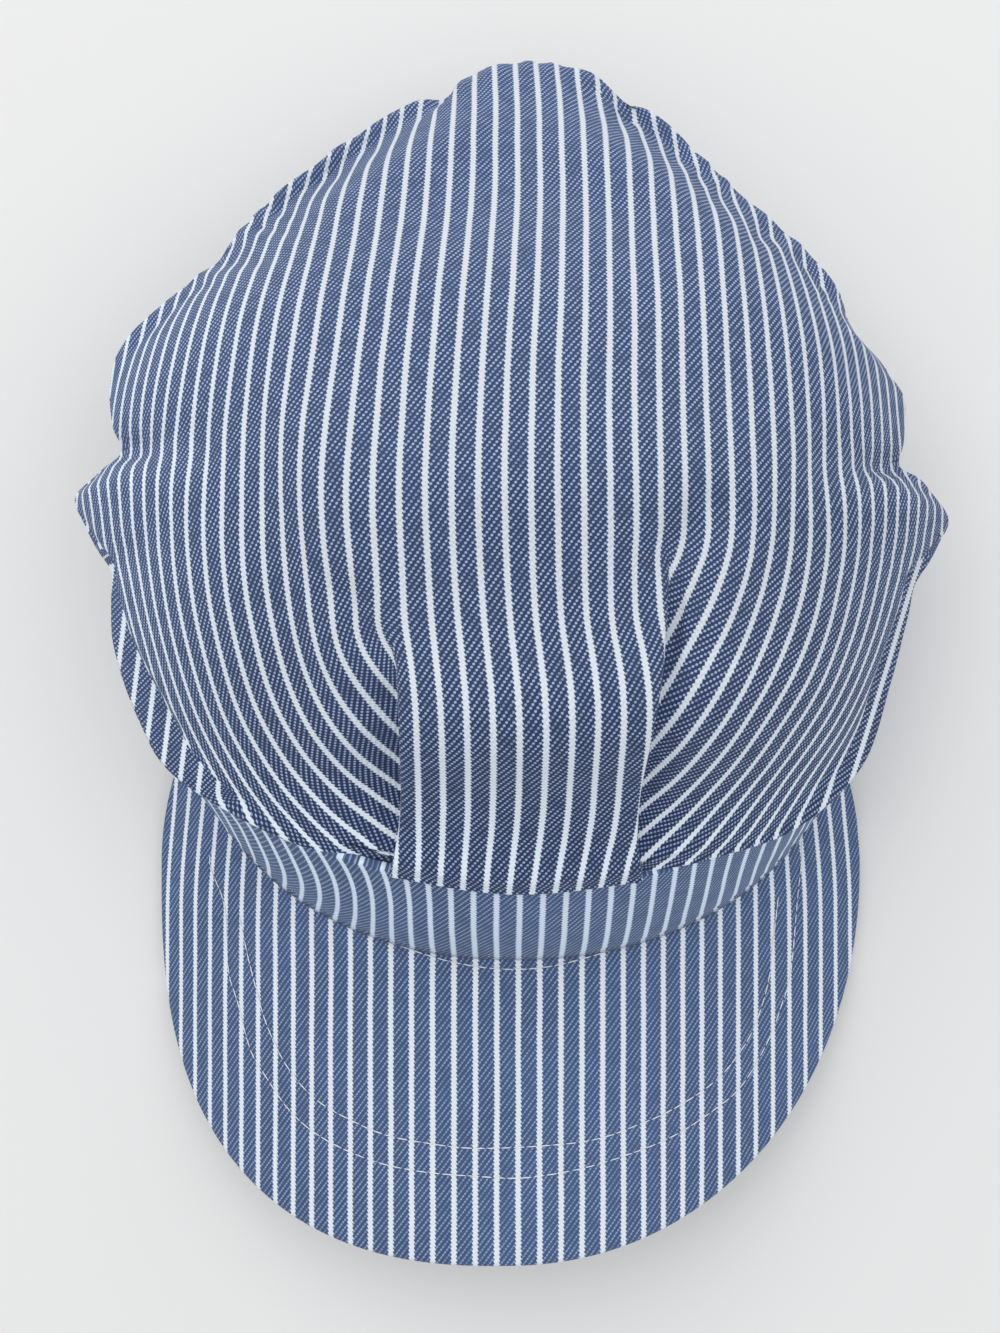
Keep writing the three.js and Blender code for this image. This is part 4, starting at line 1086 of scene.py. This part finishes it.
# Finishes
class Finish:
    """Small helper that adds and links the nodes of one material."""

    def __init__(self, name):
        self.material = bpy.data.materials.new(name)
        self.material.use_nodes = True
        self.tree = self.material.node_tree
        self.tree.nodes.clear()
        self.output = self.node('ShaderNodeOutputMaterial')
        self.shader = self.node('ShaderNodeBsdfPrincipled')
        self.join(self.shader.outputs[0], self.output.inputs['Surface'])

    def node(self, kind, **settings):
        made = self.tree.nodes.new(kind)
        for key, value in settings.items():
            setattr(made, key, value)
        return made

    def join(self, source, socket):
        self.tree.links.new(source, socket)

    def feed(self, value, socket):
        if isinstance(value, bpy.types.NodeSocket):
            self.join(value, socket)
        else:
            socket.default_value = value

    def math(self, operation, *values):
        made = self.node('ShaderNodeMath', operation=operation)
        for value, socket in zip(values, made.inputs):
            self.feed(value, socket)
        return made.outputs[0]

    def ramp(self, value, low, high, to_low=0.0, to_high=1.0, soft=True):
        made = self.node('ShaderNodeMapRange', interpolation_type='SMOOTHSTEP' if soft else 'LINEAR')
        for source, socket in zip((value, low, high, to_low, to_high), made.inputs):
            self.feed(source, socket)
        return made.outputs[0]

    def mix(self, share, one, two):
        made = self.node('ShaderNodeMix', data_type='RGBA')
        self.feed(share, made.inputs[0])
        self.feed(one, made.inputs[6])
        self.feed(two, made.inputs[7])
        return made.outputs[2]

    def noise(self, vector, scale, detail=2.0, rough=0.5):
        made = self.node('ShaderNodeTexNoise')
        self.feed(vector, made.inputs['Vector'])
        made.inputs['Scale'].default_value = scale
        made.inputs['Detail'].default_value = detail
        made.inputs['Roughness'].default_value = rough
        return made.outputs[0]


def twill(name, look, ground, dot, stripe, dot_strength, dots, rough, sheen, relief, painted_shading_and_tone=0.0):
    """Striped twill: pale stripes with toothed edges on a dark ground flecked by the diagonal weave."""
    f = Finish(name)
    uv = f.node('ShaderNodeUVMap', uv_map='UVMap').outputs[0]
    split = f.node('ShaderNodeSeparateXYZ')
    f.join(uv, split.inputs[0])
    place = f.node('ShaderNodeTexCoord').outputs['Object']
    u = f.math('MULTIPLY', split.outputs[0], 1000.0)
    v = f.math('MULTIPLY', split.outputs[1], 1000.0)
    drift = f.math('MULTIPLY', f.math('SUBTRACT', f.noise(place, 55.0, 2.0), 0.5), 0.34)
    fine_drift = f.math('MULTIPLY', f.math('SUBTRACT', f.noise(place, 420.0, 1.0), 0.5), 0.12)
    u_wander = f.math('ADD', f.math('ADD', u, drift), fine_drift)
    first = f.math('COSINE', f.math('MULTIPLY', f.math('ADD', f.math('MULTIPLY', u, 0.776),
                                                        f.math('MULTIPLY', v, -0.569)), 2 * math.pi))
    second = f.math('COSINE', f.math('MULTIPLY', f.math('ADD', f.math('MULTIPLY', u, 0.741),
                                                         f.math('MULTIPLY', v, 1.12)), 2 * math.pi))
    both = f.math('ADD', f.math('MULTIPLY', first, 1.2), f.math('MULTIPLY', second, dots))
    pitch = look.stripe_pitch * 1000
    off = f.math('PINGPONG', u_wander, pitch / 2)
    half = f.math('ADD', look.stripe_width * 500, f.math('MULTIPLY', second, 0.13))
    away = f.math('SUBTRACT', off, half)
    band = f.ramp(away, -0.1, 0.12, 1.0, 0.0)
    # Warp threads side by side, each a little lighter or darker
    thread_place = f.node('ShaderNodeCombineXYZ')
    f.join(f.math('MULTIPLY', u, 3.1), thread_place.inputs[0])
    f.join(f.math('MULTIPLY', v, 0.12), thread_place.inputs[1])
    threads = f.noise(thread_place.outputs[0], 1.0, 1.0)
    patch = f.noise(place, 26.0, 3.0, 0.6)
    mottling = f.noise(place, 330.0, 2.0, 0.6)
    fleck = f.ramp(both, 0.2, 1.35, 0.0, 1.0)
    fleck = f.math('MULTIPLY', fleck, f.ramp(mottling, 0.3, 0.62, 0.55, 1.1))
    there = f.node('ShaderNodeSeparateXYZ')
    f.join(place, there.inputs[0])
    # ground made lighter towards the back and towards the left side
    lighter_back_and_left = f.math('ADD', f.ramp(there.outputs[1], -0.05, 0.13), f.ramp(there.outputs[0], -0.04, -0.1, 0.0, 0.62))
    dark = f.mix(f.ramp(patch, 0.3, 0.7), [c * 0.9 for c in ground[:3]] + [1], [c * 1.12 for c in ground[:3]] + [1])
    dark = f.mix(f.math('MULTIPLY', lighter_back_and_left, painted_shading_and_tone), dark, [c * 2.0 for c in ground[:3]] + [1])
    # painted shade: ground darker towards the front of the crown and in the pleats, where the crown's pleat mask lies
    painted_shade_mask = f.ramp(there.outputs[1], 0.015, -0.05, 0.0, 0.45 * painted_shading_and_tone)
    folded = f.node('ShaderNodeAttribute', attribute_name='painted_pleat_shade').outputs['Fac']
    painted_shade_mask = f.math('MINIMUM', f.math('ADD', painted_shade_mask, f.math('MULTIPLY', folded, 0.25)), 1.0)
    dark = f.mix(painted_shade_mask, dark, [ground[0] * 0.43, ground[1] * 0.55, ground[2] * 0.8, 1])
    dark = f.mix(f.math('MULTIPLY', f.ramp(threads, 0.3, 0.7), 0.35), dark, [c * 0.8 for c in ground[:3]] + [1])
    # the same painted shade also dims the pale flecks
    dim = f.mix(f.math('MULTIPLY', painted_shade_mask, 0.7), dot, [dot[0] * 0.6, dot[1] * 0.69, dot[2] * 0.86, 1])
    blue = f.mix(f.math('MULTIPLY', fleck, dot_strength), dark, dim)
    shade = f.math('MULTIPLY', f.ramp(second, -1.0, 0.2, 1.0, 0.0), 0.16)
    pale = f.mix(f.math('ADD', shade, f.math('MULTIPLY', f.ramp(threads, 0.35, 0.7), 0.1)), stripe,
                 [stripe[0] * 0.62, stripe[1] * 0.68, stripe[2] * 0.78, 1])
    bright = [min(shade * gain, 0.95) for shade, gain in zip(stripe, (1.14, 1.19, 1.22))] + [1]
    toward_light = f.math('MAXIMUM', f.ramp(there.outputs[1], 0.015, -0.05, 0.0, painted_shading_and_tone),
                          f.ramp(there.outputs[0], -0.03, -0.085, 0.0, 0.8 * painted_shading_and_tone))
    pale = f.mix(toward_light, pale, bright)
    colour = f.mix(band, blue, pale)
    f.join(colour, f.shader.inputs['Base Color'])
    f.join(f.ramp(mottling, 0.25, 0.75, rough - 0.06, rough + 0.05), f.shader.inputs['Roughness'])
    f.shader.inputs['Sheen Weight'].default_value = sheen
    f.shader.inputs['Sheen Roughness'].default_value = 0.45
    f.shader.inputs['Specular IOR Level'].default_value = 0.25
    weave = f.math('ADD', f.math('MULTIPLY', both, 0.25), f.math('MULTIPLY', mottling, 0.5))
    weave = f.math('ADD', weave, f.math('MULTIPLY', threads, 0.35))
    weave = f.math('ADD', weave, f.math('MULTIPLY', band, 0.25))
    bump = f.node('ShaderNodeBump')
    bump.inputs['Strength'].default_value = relief
    bump.inputs['Distance'].default_value = 0.00022
    f.join(weave, bump.inputs['Height'])
    f.join(bump.outputs[0], f.shader.inputs['Normal'])
    return f.material


def thread_finish(look):
    f = Finish('thread')
    place = f.node('ShaderNodeTexCoord').outputs['Object']
    ply = f.node('ShaderNodeTexWave', wave_type='BANDS', bands_direction='DIAGONAL')
    f.join(place, ply.inputs['Vector'])
    ply.inputs['Scale'].default_value = 900.0
    ply.inputs['Distortion'].default_value = 1.5
    dirt = f.noise(place, 90.0, 2.0)
    colour = f.mix(f.ramp(dirt, 0.35, 0.7), list(look.thread_colour) + [1],
                   [look.thread_colour[0] * 0.72, look.thread_colour[1] * 0.76, look.thread_colour[2] * 0.84, 1])
    f.join(colour, f.shader.inputs['Base Color'])
    f.join(f.ramp(dirt, 0.3, 0.7, 0.62, 0.8), f.shader.inputs['Roughness'])
    bump = f.node('ShaderNodeBump')
    bump.inputs['Strength'].default_value = 0.5
    bump.inputs['Distance'].default_value = 0.00008
    f.join(ply.outputs['Fac'], bump.inputs['Height'])
    f.join(bump.outputs[0], f.shader.inputs['Normal'])
    return f.material


def rgb(colour):
    return list(colour) + [1.0]


# Settings, operators and panel
class ClothSettings(bpy.types.PropertyGroup):
    """Sizes and colours of the cap's cloth."""
    stripe_pitch: bpy.props.FloatProperty(
        name="Stripe spacing", description="Distance from one pale stripe to the next", default=0.00476,
        min=0.001, max=0.02, precision=5, subtype='DISTANCE', unit='LENGTH')
    stripe_width: bpy.props.FloatProperty(
        name="Stripe width", description="Width of a pale stripe", default=0.00118,
        min=0.0003, max=0.01, precision=5, subtype='DISTANCE', unit='LENGTH')
    gather_depth: bpy.props.FloatProperty(
        name="Gather depth", description="Height of the gathers at the seams", default=0.0005,
        min=0.0, max=0.003, precision=5, subtype='DISTANCE', unit='LENGTH')
    ground_colour: bpy.props.FloatVectorProperty(
        name="Ground colour", description="Dark blue between the stripes", default=(0.0285, 0.0475, 0.107),
        size=3, min=0, max=1, subtype='COLOR')
    dot_colour: bpy.props.FloatVectorProperty(
        name="Fleck colour", description="Pale flecks of the weave", default=(0.39, 0.47, 0.67),
        size=3, min=0, max=1, subtype='COLOR')
    stripe_colour: bpy.props.FloatVectorProperty(
        name="Stripe colour", description="Off-white of the stripes", default=(0.705, 0.735, 0.775),
        size=3, min=0, max=1, subtype='COLOR')
    thread_colour: bpy.props.FloatVectorProperty(
        name="Thread colour", description="Pale sewing thread", default=(0.27, 0.36, 0.54),
        size=3, min=0, max=1, subtype='COLOR')
    thread_thickness: bpy.props.FloatProperty(
        name="Thread thickness", description="Diameter of the sewing thread", default=0.00026,
        min=0.0001, max=0.002, precision=5, subtype='DISTANCE', unit='LENGTH')
    stitch_spacing: bpy.props.FloatProperty(
        name="Stitch spacing", description="Distance from one stitch to the next", default=0.0029,
        min=0.001, max=0.01, precision=5, subtype='DISTANCE', unit='LENGTH')


class StageSettings(bpy.types.PropertyGroup):
    """Floor and lights."""
    floor_colour: bpy.props.FloatVectorProperty(
        name="Floor colour", description="Pale floor under the cap", default=(0.825, 0.805, 0.785),
        size=3, min=0, max=1, subtype='COLOR')
    key_power: bpy.props.FloatProperty(
        name="Key light", description="Power of the large soft light", default=14.5, min=0, unit='POWER')
    sky_strength: bpy.props.FloatProperty(
        name="Sky light", description="Strength of the even light from all round", default=0.82, min=0)


def dress(thing, node, slot_name, material):
    thing.data.materials.clear()
    thing.data.materials.append(material)
    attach(thing, 'root')
    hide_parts(node)


class CAP_OT_crown(bpy.types.Operator):
    """Makes the soft crown with its front pleats and gathers"""
    bl_idname = "cap.make_crown"
    bl_label = "Crown"

    def execute(self, context):
        look = context.scene.cap_cloth
        thing, size, area = build_crown(look)
        material = twill('crown_twill', look, rgb(look.ground_colour), rgb(look.dot_colour),
                         rgb(look.stripe_colour), 0.95, 0.8, 0.9, 0.06, 0.8, 0.9)
        dress(thing, 'crown', 'crown_cloth', material)
        return {'FINISHED'}


class CAP_OT_band(bpy.types.Operator):
    """Makes the standing band with the gathers behind"""
    bl_idname = "cap.make_band"
    bl_label = "Band"

    def execute(self, context):
        look = context.scene.cap_cloth
        thing, size, area = build_band(look)
        # painted sheen: the band's copy of the twill has a lighter ground and paler, bluer stripes than the crown's
        ground = [c * m for c, m in zip(look.ground_colour, (1.9, 2.1, 1.9))]
        pale = [c * m for c, m in zip(look.stripe_colour, (1.05, 1.13, 1.22))]
        material = twill('band_twill', look, rgb(ground), rgb(look.dot_colour),
                         rgb(pale), 0.75, 0.5, 0.86, 0.12, 0.7)
        dress(thing, 'band', 'band_cloth', material)
        return {'FINISHED'}


class CAP_OT_peak(bpy.types.Operator):
    """Makes the stiff arched peak covered in the same twill"""
    bl_idname = "cap.make_peak"
    bl_label = "Peak"

    def execute(self, context):
        look = context.scene.cap_cloth
        thing, size, area = build_peak(look)
        # painted sheen: the peak's copy of the twill has a lighter ground and paler stripes than the crown's
        ground = [c * m for c, m in zip(look.ground_colour, (1.8, 1.98, 1.85))]
        pale = [c * m for c, m in zip(look.stripe_colour, (1.1, 1.1, 1.1))]
        material = twill('peak_twill', look, rgb(ground), rgb(look.dot_colour),
                         rgb(pale), 0.62, 0.45, 0.84, 0.10, 0.6)
        dress(thing, 'peak', 'peak_cloth', material)
        return {'FINISHED'}


class CAP_OT_stitching(bpy.types.Operator):
    """Sews the rows of stitches on the peak"""
    bl_idname = "cap.make_stitching"
    bl_label = "Stitching"

    def execute(self, context):
        look = context.scene.cap_cloth
        paths = []
        for line in stitch_lines().values():
            lifted = arch_point(line[:, 0], line[:, 1], np.full(len(line), 0.12))
            paths.append(lifted)
        thing = stitched('peak_stitching', paths, look, thread_finish(look), look.stitch_spacing,
                         look.stitch_spacing * 0.96)
        material = thing.data.materials[0] if len(thing.data.materials) else thread_finish(look)
        dress(thing, 'peak', 'peak_cloth', material)
        return {'FINISHED'}


class CAP_OT_stage(bpy.types.Operator):
    """Sets the pale floor, the soft lights and the camera overhead"""
    bl_idname = "cap.make_stage"
    bl_label = "Stage"

    def execute(self, context):
        scene = context.scene
        look = scene.cap_stage
        mesh = bpy.data.meshes.new('floor')
        mesh.from_pydata([(-3, -3, 0), (3, -3, 0), (3, 3, 0), (-3, 3, 0)], [], [(0, 1, 2, 3)])
        floor = bpy.data.objects.new('floor', mesh)
        scene.collection.objects.link(floor)
        f = Finish('floor')
        place = f.node('ShaderNodeTexCoord').outputs['Object']
        shade = f.mix(f.noise(place, 2.0, 2.0), rgb(look.floor_colour), rgb([c * 0.97 for c in look.floor_colour]))
        f.join(shade, f.shader.inputs['Base Color'])
        f.shader.inputs['Roughness'].default_value = 0.9
        f.shader.inputs['Specular IOR Level'].default_value = 0.1
        mesh.materials.append(f.material)

        def lamp(name, place, size, power, tint=(1, 1, 1)):
            data = bpy.data.lights.new(name, 'AREA')
            data.shape = 'RECTANGLE'
            data.size, data.size_y = size
            data.energy = power
            data.color = tint
            thing = bpy.data.objects.new(name, data)
            thing.location = place
            thing.rotation_euler = (Vector((0, 0, 0.03)) - Vector(place)).to_track_quat('-Z', 'Y').to_euler()
            scene.collection.objects.link(thing)

        lamp('key', (-0.75, 1.15, 1.3), (2.0, 1.6), look.key_power, (1.0, 0.985, 0.96))
        lamp('fill', (1.4, 0.4, 1.3), (1.6, 1.6), look.key_power * 0.3, (1.0, 1.0, 1.0))
        world = bpy.data.worlds.new('studio')
        scene.world = world
        world.use_nodes = True
        world.node_tree.nodes['Background'].inputs[0].default_value = (0.915, 0.955, 1.0, 1)
        world.node_tree.nodes['Background'].inputs[1].default_value = look.sky_strength
        data = bpy.data.cameras.new('overhead')
        data.sensor_width = 36.0
        data.lens = SIGHT_SCALE / 1333.0 * 36.0
        data.clip_start = 0.01
        camera = bpy.data.objects.new('overhead', data)
        camera.location = (-FRAME_MIDDLE[0] / 1000, -FRAME_MIDDLE[1] / 1000, EYE_HEIGHT / 1000)
        scene.collection.objects.link(camera)
        scene.camera = camera
        scene.view_settings.view_transform = 'Standard'
        return {'FINISHED'}


class CAP_PT_panel(bpy.types.Panel):
    """Lists the cap's pieces and their settings"""
    bl_idname = "CAP_PT_panel"
    bl_label = "Conductor Cap"
    bl_space_type = 'VIEW_3D'
    bl_region_type = 'UI'
    bl_category = "Cap"

    def draw(self, context):
        layout = self.layout
        for settings in (context.scene.cap_cloth, context.scene.cap_stage):
            box = layout.box()
            for key in settings.bl_rna.properties.keys():
                if key not in {'rna_type', 'name'}:
                    box.prop(settings, key)
        for operator in OPERATORS:
            layout.operator(operator.bl_idname)


OPERATORS = (CAP_OT_crown, CAP_OT_band, CAP_OT_peak, CAP_OT_stitching, CAP_OT_stage)
CLASSES = (ClothSettings, StageSettings, *OPERATORS, CAP_PT_panel)


def register():
    for item in CLASSES:
        bpy.utils.register_class(item)
    bpy.types.Scene.cap_cloth = bpy.props.PointerProperty(type=ClothSettings)
    bpy.types.Scene.cap_stage = bpy.props.PointerProperty(type=StageSettings)


def unregister():
    del bpy.types.Scene.cap_stage
    del bpy.types.Scene.cap_cloth
    for item in reversed(CLASSES):
        bpy.utils.unregister_class(item)


def main():
    register()
    bpy.ops.cap.make_crown()
    bpy.ops.cap.make_band()
    bpy.ops.cap.make_peak()
    bpy.ops.cap.make_stitching()
    bpy.ops.cap.make_stage()


if __name__ == "__main__":
    main()
